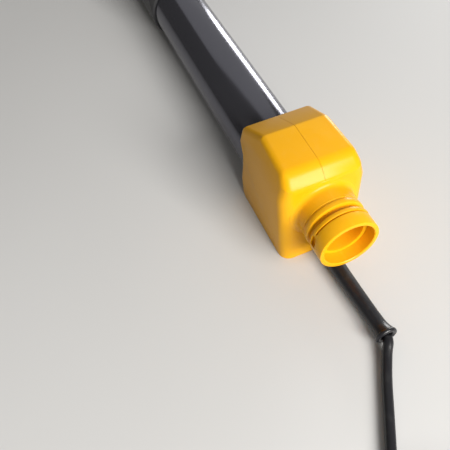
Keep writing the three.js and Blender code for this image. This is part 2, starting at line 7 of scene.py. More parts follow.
# %% Load the frame
import math
import json
import bpy
import bmesh
from mathutils import Matrix, Vector
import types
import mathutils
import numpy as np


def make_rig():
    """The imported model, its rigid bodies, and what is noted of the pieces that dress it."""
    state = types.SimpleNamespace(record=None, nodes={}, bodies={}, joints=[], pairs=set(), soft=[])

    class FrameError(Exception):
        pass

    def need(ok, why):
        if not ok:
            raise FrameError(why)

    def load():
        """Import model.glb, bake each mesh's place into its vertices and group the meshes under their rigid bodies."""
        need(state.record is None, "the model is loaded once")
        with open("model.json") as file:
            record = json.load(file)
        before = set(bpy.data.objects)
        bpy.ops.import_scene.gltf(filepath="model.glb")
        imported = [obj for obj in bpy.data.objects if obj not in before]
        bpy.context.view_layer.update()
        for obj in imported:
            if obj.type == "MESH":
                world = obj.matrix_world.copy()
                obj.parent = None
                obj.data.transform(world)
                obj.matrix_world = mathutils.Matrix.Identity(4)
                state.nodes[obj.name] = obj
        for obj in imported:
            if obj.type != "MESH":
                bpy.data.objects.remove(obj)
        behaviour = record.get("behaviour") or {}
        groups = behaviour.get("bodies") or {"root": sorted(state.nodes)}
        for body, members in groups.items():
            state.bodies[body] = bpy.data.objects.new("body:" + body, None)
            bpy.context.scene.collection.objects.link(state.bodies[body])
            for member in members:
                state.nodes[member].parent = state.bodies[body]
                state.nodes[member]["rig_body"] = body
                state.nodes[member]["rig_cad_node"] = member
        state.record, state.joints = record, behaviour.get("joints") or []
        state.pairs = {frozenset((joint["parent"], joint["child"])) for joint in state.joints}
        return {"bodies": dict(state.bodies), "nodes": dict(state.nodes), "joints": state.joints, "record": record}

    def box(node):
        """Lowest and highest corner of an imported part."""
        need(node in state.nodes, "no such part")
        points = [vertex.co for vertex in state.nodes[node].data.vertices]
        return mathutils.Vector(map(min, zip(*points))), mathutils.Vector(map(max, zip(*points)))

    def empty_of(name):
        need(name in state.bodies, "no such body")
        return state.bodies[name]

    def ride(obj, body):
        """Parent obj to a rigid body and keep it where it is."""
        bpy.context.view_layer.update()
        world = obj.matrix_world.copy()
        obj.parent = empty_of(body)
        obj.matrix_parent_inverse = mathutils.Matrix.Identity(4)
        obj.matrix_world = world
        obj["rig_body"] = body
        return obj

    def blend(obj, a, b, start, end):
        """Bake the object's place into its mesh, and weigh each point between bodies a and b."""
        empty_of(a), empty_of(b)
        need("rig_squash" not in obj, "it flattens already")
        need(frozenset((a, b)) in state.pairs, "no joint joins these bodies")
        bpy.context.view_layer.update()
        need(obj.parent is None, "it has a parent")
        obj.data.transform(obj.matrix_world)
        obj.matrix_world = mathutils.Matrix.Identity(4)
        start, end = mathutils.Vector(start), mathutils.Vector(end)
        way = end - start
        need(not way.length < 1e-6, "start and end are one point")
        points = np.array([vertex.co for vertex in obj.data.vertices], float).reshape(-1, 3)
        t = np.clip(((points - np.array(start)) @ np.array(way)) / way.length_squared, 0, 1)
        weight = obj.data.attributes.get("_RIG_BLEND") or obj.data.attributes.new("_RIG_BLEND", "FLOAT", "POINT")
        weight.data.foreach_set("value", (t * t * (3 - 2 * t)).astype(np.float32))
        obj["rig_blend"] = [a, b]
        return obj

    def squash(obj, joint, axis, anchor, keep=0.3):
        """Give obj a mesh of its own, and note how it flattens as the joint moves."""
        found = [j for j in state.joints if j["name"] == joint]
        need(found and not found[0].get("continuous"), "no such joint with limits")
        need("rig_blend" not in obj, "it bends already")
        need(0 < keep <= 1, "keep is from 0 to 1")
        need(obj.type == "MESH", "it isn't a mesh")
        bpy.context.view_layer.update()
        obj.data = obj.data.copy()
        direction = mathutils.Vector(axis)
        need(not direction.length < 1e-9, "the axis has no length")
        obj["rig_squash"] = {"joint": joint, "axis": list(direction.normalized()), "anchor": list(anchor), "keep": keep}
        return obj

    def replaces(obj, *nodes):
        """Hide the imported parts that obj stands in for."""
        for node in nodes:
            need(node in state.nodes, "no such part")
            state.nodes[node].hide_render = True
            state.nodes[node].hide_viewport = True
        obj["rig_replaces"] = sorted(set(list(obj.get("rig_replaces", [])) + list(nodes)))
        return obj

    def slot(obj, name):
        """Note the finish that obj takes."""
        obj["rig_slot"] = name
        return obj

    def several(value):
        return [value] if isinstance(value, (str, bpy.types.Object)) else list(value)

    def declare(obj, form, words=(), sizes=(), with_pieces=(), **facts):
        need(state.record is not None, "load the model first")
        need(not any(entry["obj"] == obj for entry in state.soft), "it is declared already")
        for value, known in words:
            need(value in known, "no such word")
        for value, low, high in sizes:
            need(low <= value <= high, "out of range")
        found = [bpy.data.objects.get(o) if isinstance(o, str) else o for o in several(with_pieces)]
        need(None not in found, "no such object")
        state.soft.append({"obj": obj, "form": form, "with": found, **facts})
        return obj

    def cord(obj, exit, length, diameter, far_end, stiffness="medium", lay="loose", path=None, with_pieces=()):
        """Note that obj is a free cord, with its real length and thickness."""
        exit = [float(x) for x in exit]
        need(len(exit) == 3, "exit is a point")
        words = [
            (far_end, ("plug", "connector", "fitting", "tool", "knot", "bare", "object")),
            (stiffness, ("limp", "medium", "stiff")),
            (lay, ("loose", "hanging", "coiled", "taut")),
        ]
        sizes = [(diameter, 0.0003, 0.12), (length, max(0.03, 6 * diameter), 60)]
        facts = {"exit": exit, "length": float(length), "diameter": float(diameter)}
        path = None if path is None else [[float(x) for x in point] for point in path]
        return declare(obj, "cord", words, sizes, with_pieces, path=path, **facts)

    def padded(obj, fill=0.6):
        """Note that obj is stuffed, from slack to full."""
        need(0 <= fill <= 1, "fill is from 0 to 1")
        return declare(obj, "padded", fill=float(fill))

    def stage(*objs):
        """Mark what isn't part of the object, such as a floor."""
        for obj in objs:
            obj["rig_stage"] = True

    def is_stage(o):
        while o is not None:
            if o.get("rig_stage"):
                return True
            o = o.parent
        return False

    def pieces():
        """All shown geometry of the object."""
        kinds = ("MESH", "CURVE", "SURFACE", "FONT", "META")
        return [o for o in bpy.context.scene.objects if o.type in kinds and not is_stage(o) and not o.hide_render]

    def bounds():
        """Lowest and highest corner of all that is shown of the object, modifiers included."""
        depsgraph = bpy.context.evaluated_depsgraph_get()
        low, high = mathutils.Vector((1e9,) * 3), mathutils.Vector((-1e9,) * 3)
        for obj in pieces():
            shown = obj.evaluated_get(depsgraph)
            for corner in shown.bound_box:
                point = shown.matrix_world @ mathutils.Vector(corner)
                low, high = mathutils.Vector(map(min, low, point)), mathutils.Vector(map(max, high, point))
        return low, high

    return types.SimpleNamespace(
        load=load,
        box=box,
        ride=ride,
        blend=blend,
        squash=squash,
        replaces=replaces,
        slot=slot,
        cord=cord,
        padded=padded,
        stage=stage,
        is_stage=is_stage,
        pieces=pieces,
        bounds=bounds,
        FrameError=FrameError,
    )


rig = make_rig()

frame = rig.load()
CAD_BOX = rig.bounds()
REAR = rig.box("rear_housing_left")[0].y       # the spout's mouth
print("frame:", len(frame["nodes"]), "nodes,", len(frame["bodies"]), "bodies; spout mouth at y", round(REAR,
    4))


def at(x, y, z):
    """A place in millimetres, with y counted forward from the spout's mouth, as a point in the frame."""
    return Vector((x / 1000, REAR + y / 1000, z / 1000))


MM = 0.001
SPOUT_Z, POLE_Z, PIVOT_Z = 45, 28.3, 66        # heights of the spout's, the pole's and the gimbal's axes
POLE_R = 25
HEAD_Y = 1029.6                                # middle of the sanding head
SPOUT_MIDDLE, POLE_MIDDLE = (0, 0, SPOUT_Z), (0, 0, POLE_Z)
HEAD_FOOT, PIVOT = (0, HEAD_Y, 0), (0, HEAD_Y, PIVOT_Z)

# %% [markdown]
# ## Camera
# A camera that stands behind and above the spout, a little to its left, turned slightly on its own axis. The
# lens is a short portrait lens. The camera's axes are written as a matrix, because a tilt, a swing and a roll
# together are hard to read as three angles.

# %% Camera
CAMERA_AZIMUTH, CAMERA_ELEVATION, CAMERA_ROLL = math.radians(-16.61), math.radians(52.98), math.radians(-7.10)
CAMERA_LENS = 43.14
CAMERA_FROM_SPOUT = Vector((-0.1253, -0.1551, 0.2818))


def camera_axes(azimuth, elevation, roll):
    right = Vector((math.cos(azimuth), math.sin(azimuth), 0))
    back = Vector((math.sin(azimuth) * math.cos(elevation), -math.cos(azimuth) * math.cos(elevation),
        math.sin(elevation)))
    up = back.cross(right)
    turned_right = math.cos(roll) * right + math.sin(roll) * up
    turned_up = math.cos(roll) * up - math.sin(roll) * right
    return Matrix((turned_right, turned_up, back)).transposed().to_4x4()


camera_data = bpy.data.cameras.new("camera")
camera_data.lens = CAMERA_LENS
camera_data.sensor_width = 36
camera_data.clip_start, camera_data.clip_end = 0.01, 20
camera = bpy.data.objects.new("camera", camera_data)
bpy.context.scene.collection.objects.link(camera)
camera.matrix_world = (Matrix.Translation(at(*SPOUT_MIDDLE) + CAMERA_FROM_SPOUT) @ camera_axes(CAMERA_AZIMUTH,
    CAMERA_ELEVATION, CAMERA_ROLL))
bpy.context.scene.camera = camera
print("camera at", [round(c, 3) for c in camera.location])

# %% [markdown]
# ## The flex
# The flex leaves the boot's bell, drops on the floor and runs back to a tied coil. A curve object is the right
# tool for a cord: it has one centreline and a round bevel, and its length is easy to measure. The free stretch
# is a short list of points, and the coil is worked out by a loop: a spiral inwards, a climb, a spiral outwards.

# %% The flex's route
CORD_D = 6.6 * MM
FREE_ROUTE = [(2.5, -49.6, 7.6), (1.3, -52.5, 7.2), (-1.6, -56.5, 5.6), (-5.7, -63, 4), (-11.3, -72.1, 3.4),
    (-20, -87.6, 3.4), (-31, -107.2, 3.4), (-44, -130.2, 3.4), (-58, -154.7, 3.4)]
COIL_CENTRE = (-29.7, -206.1)
COIL_OUTER, COIL_PITCH, COIL_LAYERS, SPIRAL_TURNS, CLIMB_TURNS = 50, 6.7, 4, 3, 0.75
COIL_START = math.radians(150.3)
TAIL_Y, TAIL_Z, PLUG_X = COIL_CENTRE[1] - 57.4, 11, -7
STEPS_PER_TURN = 24


def coil_place(angle, radius, height):
    return (COIL_CENTRE[0] + radius * math.cos(angle), COIL_CENTRE[1] + radius * math.sin(angle), height)


print("free stretch:", len(FREE_ROUTE), "places; coil:", COIL_LAYERS * SPIRAL_TURNS, "turns and the climbs")

# %% [markdown]
# The cord leaves the top layer beside the plug, so its last turn first widens past the coil and only then drops.
# Where a turn climbs to the next layer it leans away from its neighbour, as a wound cord does.

# %% The flex as one curve
LEAN = 1.6                                     # how far a climbing turn leans away from its neighbour
FLOOR_Z = 3.4                                  # height of the flex's centre where it lies on the floor
DROP_STEPS, DROP_RADIUS, DROP_DEPTH = 6, 57.9, 9     # the last stretch, which widens past the coil and drops
LAST_TURN_SHORT = 4                            # steps left out of the last turn, so that the drop takes over


def ease(t):
    return (1 - math.cos(math.pi * min(max(t, 0), 1))) / 2


def coil_route():
    """The turns of the coil, layer on layer, anticlockwise seen from above, and the drop to the plug."""
    points, angle, radius = [], COIL_START, COIL_OUTER
    step = 2 * math.pi / STEPS_PER_TURN
    for layer in range(COIL_LAYERS):
        inward = -1 if layer % 2 == 0 else 1
        height = FLOOR_Z + layer * COIL_PITCH
        last = layer == COIL_LAYERS - 1
        for _ in range(SPIRAL_TURNS * STEPS_PER_TURN - (LAST_TURN_SHORT if last else 0)):
            points.append(coil_place(angle, radius, height))
            angle += step
            radius += inward * COIL_PITCH / STEPS_PER_TURN
        if last:
            break
        climb = int(CLIMB_TURNS * STEPS_PER_TURN)
        for i in range(climb):
            points.append(coil_place(angle, radius + inward * LEAN * math.sin(math.pi * i / climb), height +
                COIL_PITCH * ease(i / climb)))
            angle += step
    for i in range(DROP_STEPS):
        done = i / DROP_STEPS
        points.append(coil_place(angle, radius + (DROP_RADIUS - radius) * ease(done / 0.6), height -
            DROP_DEPTH * ease((done - 0.3) / 0.7)))
        angle += step
    return points


COIL_ROUTE = coil_route()
TAIL_ROUTE = [(-37, TAIL_Y, 14.5), (-28, TAIL_Y, 12.4), (-18, TAIL_Y, TAIL_Z), (PLUG_X, TAIL_Y, TAIL_Z)]
flex_data = bpy.data.curves.new("power_flex", "CURVE")
flex_data.dimensions = "3D"
flex_data.bevel_depth = CORD_D / 2
flex_data.bevel_resolution = 5
flex_data.resolution_u = 4
flex_data.use_fill_caps = True
line = flex_data.splines.new("BEZIER")
flex_points = [at(*p) for p in FREE_ROUTE + COIL_ROUTE + TAIL_ROUTE]
line.bezier_points.add(len(flex_points) - 1)
for bend, place in zip(line.bezier_points, flex_points):
    bend.co = place
    bend.handle_left_type = bend.handle_right_type = "AUTO"
flex = bpy.data.objects.new("power_flex", flex_data)
bpy.context.scene.collection.objects.link(flex)
FLEX_LENGTH = sum((b - a).length for a, b in zip(flex_points, flex_points[1:]))
print("flex:", len(flex_points), "points,", round(FLEX_LENGTH, 3), "m")

# %% [markdown]
# ## Helpers
# Every hard piece starts as a primitive and is shaped by operators. Operators work on whatever is selected, so
# each helper first lets go of everything, and each piece's place is put in its mesh at once.

# %% Selecting, placing and finishing
X, Y, Z = Vector((1, 0, 0)), Vector((0, 1, 0)), Vector((0, 0, 1))
TURN = 2 * math.pi


def let_go():
    if bpy.context.view_layer.objects.active and bpy.context.view_layer.objects.active.mode != "OBJECT":
        bpy.ops.object.mode_set(mode="OBJECT")
    bpy.ops.object.select_all(action="DESELECT")


def take_up(piece):
    let_go()
    piece.select_set(True)
    bpy.context.view_layer.objects.active = piece


def settle(name):
    """Names the new primitive and puts its place in its mesh."""
    piece = bpy.context.view_layer.objects.active
    piece.name = piece.data.name = name
    bpy.ops.object.transform_apply(location=True, rotation=True, scale=True)
    return piece


def edit(piece, kind="VERT"):
    take_up(piece)
    bpy.ops.object.mode_set(mode="EDIT")
    bpy.ops.mesh.select_mode(type=kind)


def pick(piece, test, kind="VERT"):
    """Selects the vertices, edges or faces whose middle passes the test. The middle is in millimetres."""
    edit(piece, kind)
    bpy.ops.mesh.select_all(action="DESELECT")
    shape = bmesh.from_edit_mesh(piece.data)
    if kind == "VERT":
        found = [v for v in shape.verts if test(*_millimetres(v.co))]
    elif kind == "EDGE":
        found = [e for e in shape.edges if test(*_millimetres((e.verts[0].co + e.verts[1].co) / 2))]
    else:
        found = [f for f in shape.faces if test(*_millimetres(f.calc_center_median()))]
    for part in found:
        part.select_set(True)
    shape.select_flush_mode()
    bmesh.update_edit_mesh(piece.data)
    return len(found)


def _millimetres(place):
    return place.x / MM, (place.y - REAR) / MM, place.z / MM


def block(name, x, y, z):
    """A box between two values on each axis, in millimetres."""
    let_go()
    low, high = at(x[0], y[0], z[0]), at(x[1], y[1], z[1])
    bpy.ops.mesh.primitive_cube_add(size=1, location=(low + high) / 2, scale=high - low)
    return settle(name)


def rod(name, radius, start, end, sides=48, end_radius=None):
    a, b = at(*start), at(*end)
    let_go()
    bpy.ops.mesh.primitive_cone_add(vertices=sides, radius1=radius * MM, radius2=(radius if end_radius is None
        else end_radius) * MM, depth=(b - a).length, location=(a + b) / 2, rotation=(b - a).to_track_quat("Z",
        "X").to_euler())
    return settle(name)


def turned(name, outline, middle, axis=Z, out=X, steps=96, angle=TURN):
    """Spins a closed outline of (along the axis, radius) pairs, in millimetres, about an axis through middle."""
    origin = at(*middle)
    places = [origin + axis * (along * MM) + out * (radius * MM) for along, radius in outline]
    let_go()
    bpy.ops.mesh.primitive_plane_add(size=0.001, location=places[0])
    piece = settle(name)
    edit(piece)
    bpy.ops.mesh.select_all(action="SELECT")
    bpy.ops.mesh.merge(type="CENTER")
    for a, b in zip(places, places[1:]):
        bpy.ops.mesh.extrude_vertices_move(TRANSFORM_OT_translate={"value": b - a})
    shape = bmesh.from_edit_mesh(piece.data)
    shape.verts.ensure_lookup_table()
    ends = [v for v in shape.verts if len(v.link_edges) == 1]
    bpy.ops.mesh.select_all(action="DESELECT")
    for v in ends:
        v.select_set(True)
    bmesh.update_edit_mesh(piece.data)
    bpy.ops.mesh.edge_face_add()
    bpy.ops.mesh.select_all(action="SELECT")
    bpy.ops.mesh.spin(steps=steps, angle=angle, center=origin, axis=axis)
    bpy.ops.mesh.select_all(action="SELECT")
    bpy.ops.mesh.remove_doubles(threshold=1e-6)
    if angle < TURN:
        bpy.ops.mesh.select_all(action="DESELECT")
        bpy.ops.mesh.select_non_manifold()
        bpy.ops.mesh.edge_face_add()
        bpy.ops.mesh.select_all(action="SELECT")
    bpy.ops.mesh.normals_make_consistent(inside=False)
    bpy.ops.object.mode_set(mode="OBJECT")
    return piece


def shave(piece, point, normal):
    """Cuts away what lies beyond a plane and closes the cut. The point is in millimetres."""
    edit(piece)
    bpy.ops.mesh.select_all(action="SELECT")
    bpy.ops.mesh.bisect(plane_co=at(*point), plane_no=normal, use_fill=True, clear_outer=True)
    bpy.ops.object.mode_set(mode="OBJECT")


def carve(piece, tool, operation="DIFFERENCE"):
    """Takes the tool out of the piece, or joins it on, and uses the tool up."""
    take_up(piece)
    cut = piece.modifiers.new("carve", "BOOLEAN")
    cut.object, cut.operation, cut.solver = tool, operation, "EXACT"
    bpy.ops.object.modifier_apply(modifier=cut.name)
    bpy.data.objects.remove(tool)
    return piece


def soften(piece, width=0, segments=3, angle=32, smooth=35):
    """Rounds the hard edges over a width in millimetres and shades the rest smooth."""
    take_up(piece)
    if width:
        bevel = piece.modifiers.new("soft_edges", "BEVEL")
        bevel.width, bevel.segments = width * MM, segments
        bevel.limit_method, bevel.angle_limit = "ANGLE", math.radians(angle)
        bpy.ops.object.modifier_apply(modifier=bevel.name)
    bpy.ops.object.shade_smooth_by_angle(angle=math.radians(smooth))
    return piece


def copy_of(piece, name):
    take_up(piece)
    bpy.ops.object.duplicate()
    twin = bpy.context.view_layer.objects.active
    twin.name = twin.data.name = name
    return twin


def swing(piece, angle, middle):
    """Turns the whole piece about a vertical axis through middle, within its mesh."""
    take_up(piece)
    bpy.ops.transform.rotate(value=angle, orient_axis="Z", center_override=at(*middle))
    bpy.ops.object.transform_apply(location=True, rotation=True, scale=True)


def joined(name, pieces):
    take_up(pieces[0])
    for other in pieces[1:]:
        other.select_set(True)
    if len(pieces) > 1:
        bpy.ops.object.join()
    pieces[0].name = pieces[0].data.name = name
    return pieces[0]


def swept(name, route, radius, around=6, along=6, closed_ends=True):
    """A round bar along a smooth line through the places, as a mesh."""
    data = bpy.data.curves.new(name, "CURVE")
    data.dimensions, data.bevel_depth, data.bevel_resolution = "3D", radius * MM, around
    data.resolution_u, data.use_fill_caps = along, closed_ends
    spline = data.splines.new("BEZIER")
    spline.bezier_points.add(len(route) - 1)
    for knot, place in zip(spline.bezier_points, route):
        knot.co = at(*place)
        knot.handle_left_type = knot.handle_right_type = "AUTO"
    piece = bpy.data.objects.new(name, data)
    bpy.context.scene.collection.objects.link(piece)
    take_up(piece)
    bpy.ops.object.convert(target="MESH")
    piece = bpy.context.view_layer.objects.active
    piece.name = piece.data.name = name
    edit(piece)
    bpy.ops.mesh.select_all(action="SELECT")
    bpy.ops.mesh.remove_doubles(threshold=1e-6)
    bpy.ops.mesh.normals_make_consistent(inside=False)
    bpy.ops.object.mode_set(mode="OBJECT")
    bpy.ops.object.shade_smooth_by_angle(angle=math.radians(40))
    return piece


print("helpers ready")

# %% [markdown]
# ## Finishes
# A moulded plastic is never quite one colour: it has a fine grain from the mould, slow changes of tone, and dust
# in a building tool's case. Those effects are shader groups that several finishes share, each with its own values.
# They read Object coordinates, so the pattern stays put when a piece moves.

# %% Groups: grain, dust, rubbed edges
def group(name, inputs, outputs):
    tree = bpy.data.node_groups.new(name, "ShaderNodeTree")
    for title, value in inputs:
        socket = tree.interface.new_socket(title, in_out="INPUT", socket_type="NodeSocketFloat")
        socket.default_value = value
    for title in outputs:
        tree.interface.new_socket(title, in_out="OUTPUT", socket_type="NodeSocketFloat")
    return tree, tree.nodes.new("NodeGroupInput"), tree.nodes.new("NodeGroupOutput")


def sum_of(tree, operation, a, b, clamp=False):
    node = tree.nodes.new("ShaderNodeMath")
    node.operation, node.use_clamp = operation, clamp
    for socket, value in zip(node.inputs, (a, b)):
        if isinstance(value, (int, float)):
            socket.default_value = value
        else:
            tree.links.new(value, socket)
    return node.outputs[0]


def noise(tree, coordinates, scale, detail=3, stretch=None):
    if stretch:
        mapping = tree.nodes.new("ShaderNodeMapping")
        mapping.inputs["Scale"].default_value = stretch
        tree.links.new(coordinates, mapping.inputs["Vector"])
        coordinates = mapping.outputs["Vector"]
    node = tree.nodes.new("ShaderNodeTexNoise")
    node.inputs["Detail"].default_value = detail
    tree.links.new(coordinates, node.inputs["Vector"])
    if isinstance(scale, (int, float)):
        node.inputs["Scale"].default_value = scale
    else:
        tree.links.new(scale, node.inputs["Scale"])
    return node.outputs[0]


def spread(tree, value, low, high, to_low=0, to_high=1):
    node = tree.nodes.new("ShaderNodeMapRange")
    for socket, number in zip(("From Min", "From Max", "To Min", "To Max"), (low, high, to_low, to_high)):
        node.inputs[socket].default_value = number
    tree.links.new(value, node.inputs["Value"])
    return node.outputs["Result"]


def grain_group():
    tree, given, out = group("moulded_grain", [("Size", 1500), ("Cloud", 9)], ["Height", "Tone"])
    place = tree.nodes.new("ShaderNodeTexCoord").outputs["Object"]
    fine = noise(tree, place, given.outputs["Size"], 4)
    coarse = noise(tree, place, sum_of(tree, "MULTIPLY", given.outputs["Size"], 0.31), 2)
    height = sum_of(tree, "ADD", sum_of(tree, "MULTIPLY", fine, 0.7), sum_of(tree, "MULTIPLY", coarse, 0.3))
    tree.links.new(height, out.inputs["Height"])
    tree.links.new(noise(tree, place, given.outputs["Cloud"], 5), out.inputs["Tone"])
    return tree


def dust_group():
    tree, given, out = group("settled_dust", [("Amount", 0.3), ("Fleck Size", 160)], ["Mask"])
    coordinates = tree.nodes.new("ShaderNodeTexCoord")
    normal = tree.nodes.new("ShaderNodeSeparateXYZ")
    tree.links.new(coordinates.outputs["Normal"], normal.inputs[0])
    upward = spread(tree, normal.outputs["Z"], 0.2, 1.0)
    patches = spread(tree, noise(tree, coordinates.outputs["Object"], 14, 5), 0.42, 0.72)
    flecks = spread(tree, noise(tree, coordinates.outputs["Object"], given.outputs["Fleck Size"], 3), 0.52,
        0.75)
    both = sum_of(tree, "ADD", sum_of(tree, "MULTIPLY", patches, 0.5), flecks)
    mask = sum_of(tree, "MULTIPLY", sum_of(tree, "MULTIPLY", both, upward), given.outputs["Amount"], True)
    tree.links.new(mask, out.inputs["Mask"])
    return tree


def wear_group():
    tree, given, out = group("rubbed_edges", [("Amount", 0.4), ("Patch Size", 60)], ["Mask"])
    place = tree.nodes.new("ShaderNodeTexCoord").outputs["Object"]
    edge = spread(tree, tree.nodes.new("ShaderNodeNewGeometry").outputs["Pointiness"], 0.53, 0.62)
    patches = spread(tree, noise(tree, place, given.outputs["Patch Size"], 6), 0.4, 0.65)
    mask = sum_of(tree, "MULTIPLY", sum_of(tree, "MULTIPLY", edge, patches), given.outputs["Amount"], True)
    tree.links.new(mask, out.inputs["Mask"])
    return tree


def drawn_group():
    tree, given, out = group("drawn_lines", [("Fineness", 900)], ["Height", "Tone"])
    place = tree.nodes.new("ShaderNodeTexCoord").outputs["Object"]
    tree.links.new(noise(tree, place, given.outputs["Fineness"], 3, (1, 0.012, 1)), out.inputs["Height"])
    tree.links.new(noise(tree, place, 60, 4, (1, 0.08, 1)), out.inputs["Tone"])
    return tree


GRAIN, DUST, WEAR, DRAWN = grain_group(), dust_group(), wear_group(), drawn_group()
print("groups:", [g.name for g in bpy.data.node_groups])

# %% [markdown]
# One recipe makes all the finishes. The colour moves a little between two tones, edges are rubbed paler, and
# dust lies on what faces up. Roughness follows the tone and the dust. Numbers that are the same all over a surface,
# such as the coat, are set on the shader itself.

# %% The recipe
DUST_COLOUR = (0.62, 0.60, 0.56, 1)


def add_group(tree, which, **values):
    node = tree.nodes.new("ShaderNodeGroup")
    node.node_tree = which
    for title, value in values.items():
        node.inputs[title.replace("_", " ")].default_value = value
    return node


def blend_colour(tree, factor, a, b):
    node = tree.nodes.new("ShaderNodeMix")
    node.data_type = "RGBA"
    sockets = [s for s in node.inputs if s.enabled and s.type == "RGBA"]
    for socket, value in zip(sockets, (a, b)):
        if isinstance(value, (tuple, list)):
            socket.default_value = value if len(value) == 4 else (*value, 1)
        else:
            tree.links.new(value, socket)
    tree.links.new(factor, node.inputs["Factor"])
    return next(s for s in node.outputs if s.enabled and s.type == "RGBA")


def finish(name, colour, tone, roughness, size=1500, depth=0.08, dust=0.1, worn=None, wear=0.0, metal=0.0,
           coat=0.0, specular=0.5, cloud=9, drawn=False):
    """A finish between two colours. depth is how strongly its grain shows, worn is the colour of rubbed edges."""
    material = bpy.data.materials.new(name)
    material.use_nodes = True
    tree = material.node_tree
    shader = tree.nodes["Principled BSDF"]
    pattern = add_group(tree, DRAWN) if drawn else add_group(tree, GRAIN, Size=size, Cloud=cloud)
    shade = blend_colour(tree, spread(tree, pattern.outputs["Tone"], 0.3, 0.7), colour, tone)
    rough = spread(tree, pattern.outputs["Tone"], 0.3, 0.7, roughness * 0.88, min(roughness * 1.12, 1))
    if wear:
        edges = add_group(tree, WEAR, Amount=wear).outputs["Mask"]
        shade = blend_colour(tree, edges, shade, worn or tone)
    if dust:
        film = add_group(tree, DUST, Amount=dust).outputs["Mask"]
        shade = blend_colour(tree, film, shade, DUST_COLOUR)
        rough = sum_of(tree, "ADD", rough, sum_of(tree, "MULTIPLY", film, 0.35), True)
    bump = tree.nodes.new("ShaderNodeBump")
    bump.inputs["Strength"].default_value = depth
    bump.inputs["Distance"].default_value = 0.0006
    tree.links.new(pattern.outputs["Height"], bump.inputs["Height"])
    tree.links.new(bump.outputs["Normal"], shader.inputs["Normal"])
    tree.links.new(shade, shader.inputs["Base Color"])
    tree.links.new(rough, shader.inputs["Roughness"])
    shader.inputs["Metallic"].default_value = metal
    shader.inputs["Coat Weight"].default_value = coat
    shader.inputs["Coat Roughness"].default_value = 0.25
    shader.inputs["Specular IOR Level"].default_value = specular
    return material


FINISHES = { "yellow_shell": finish("yellow_shell", (0.86, 0.425, 0.006), (0.82, 0.39, 0.005), 0.30, 1400,
    0.06, 0.015, (0.90, 0.52, 0.05), 0.25, specular=0.18), "black_shell": finish("black_shell", (0.022, 0.022,
    0.024), (0.032, 0.032, 0.034), 0.52, 1700, 0.35, 0.10, (0.07, 0.07, 0.072), 0.5), "rubber_black":
    finish("rubber_black", (0.009, 0.009, 0.011), (0.014, 0.014, 0.017), 0.33, 2200, 0.12, 0.02),
    "cord_rubber": finish("cord_rubber", (0.009, 0.009, 0.011), (0.014, 0.014, 0.017), 0.33, 2600, 0.12,
    0.02), "anodised_tube": finish("anodised_tube", (0.115, 0.115, 0.135), (0.125, 0.125, 0.145), 0.16,
    depth=0.008, dust=0.01, metal=0.85, drawn=True), "cast_alloy": finish("cast_alloy", (0.36, 0.36, 0.37),
    (0.29, 0.29, 0.30), 0.42, 900, 0.5, 0.12, (0.6, 0.6, 0.6), 0.6, metal=0.9), "steel_parts":
    finish("steel_parts", (0.50, 0.50, 0.51), (0.42, 0.42, 0.43), 0.28, 1200, 0.12, 0.03, metal=1.0),
    "copper_winding": finish("copper_winding", (0.45, 0.17, 0.07), (0.36, 0.13, 0.05), 0.35, 1500, 0.4, 0.0,
    metal=0.9), "abrasive_disc": finish("abrasive_disc", (0.30, 0.21, 0.12), (0.20, 0.14, 0.09), 0.9, 900,
    0.9, 0.0), "pad_foam": finish("pad_foam", (0.05, 0.052, 0.058), (0.035, 0.037, 0.042), 0.8, 700, 0.7,
    0.1), "bristle": finish("bristle", (0.03, 0.03, 0.032), (0.05, 0.05, 0.052), 0.6, 1800, 0.4, 0.15), }
for slot in frame["record"]["materials"]:
    assert slot["slot"] in FINISHES, slot["slot"]
print("finishes:", ", ".join(FINISHES))


def place(piece, body, slot, *nodes):
    """Gives a finished piece its finish, lets it ride on its body, and says which nodes it stands for."""
    piece.data.materials.clear()
    piece.data.materials.append(FINISHES[slot])
    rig.ride(piece, body)
    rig.slot(piece, slot)
    if nodes:
        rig.replaces(piece, *nodes)
    return piece

# %% [markdown]
# ## Floor and light
# The tool lies on a plain pale floor. One large soft light stands behind the spout and to its right, so the rear
# slope is bright and the front slope and the left side fall into shade. A weak light from the left opens the
# shadows a little.

# %% Floor, lights and world
let_go()
bpy.ops.mesh.primitive_plane_add(size=40, location=(0, 0, -0.0002))
floor = settle("floor")
floor_material = bpy.data.materials.new("pale_floor")
floor_material.use_nodes = True
floor_tree = floor_material.node_tree
floor_shader = floor_tree.nodes["Principled BSDF"]
floor_pattern = add_group(floor_tree, GRAIN, Size=300, Cloud=2)
floor_tree.links.new(blend_colour(floor_tree, floor_pattern.outputs["Tone"], (0.60, 0.60, 0.595), (0.64, 0.64,
    0.635)), floor_shader.inputs["Base Color"])
floor_shader.inputs["Roughness"].default_value = 0.6
floor.data.materials.append(floor_material)
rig.stage(floor)


def soft_light(name, place, aim, size, watts, colour=(1, 1, 1)):
    data = bpy.data.lights.new(name, "AREA")
    data.shape, data.size, data.size_y, data.energy, data.color = "RECTANGLE", size[0], size[1], watts, colour
    light = bpy.data.objects.new(name, data)
    bpy.context.scene.collection.objects.link(light)
    light.location = place
    light.visible_camera = False
    light.rotation_euler = (Vector(aim) - Vector(place)).to_track_quat("-Z", "Y").to_euler()
    return light


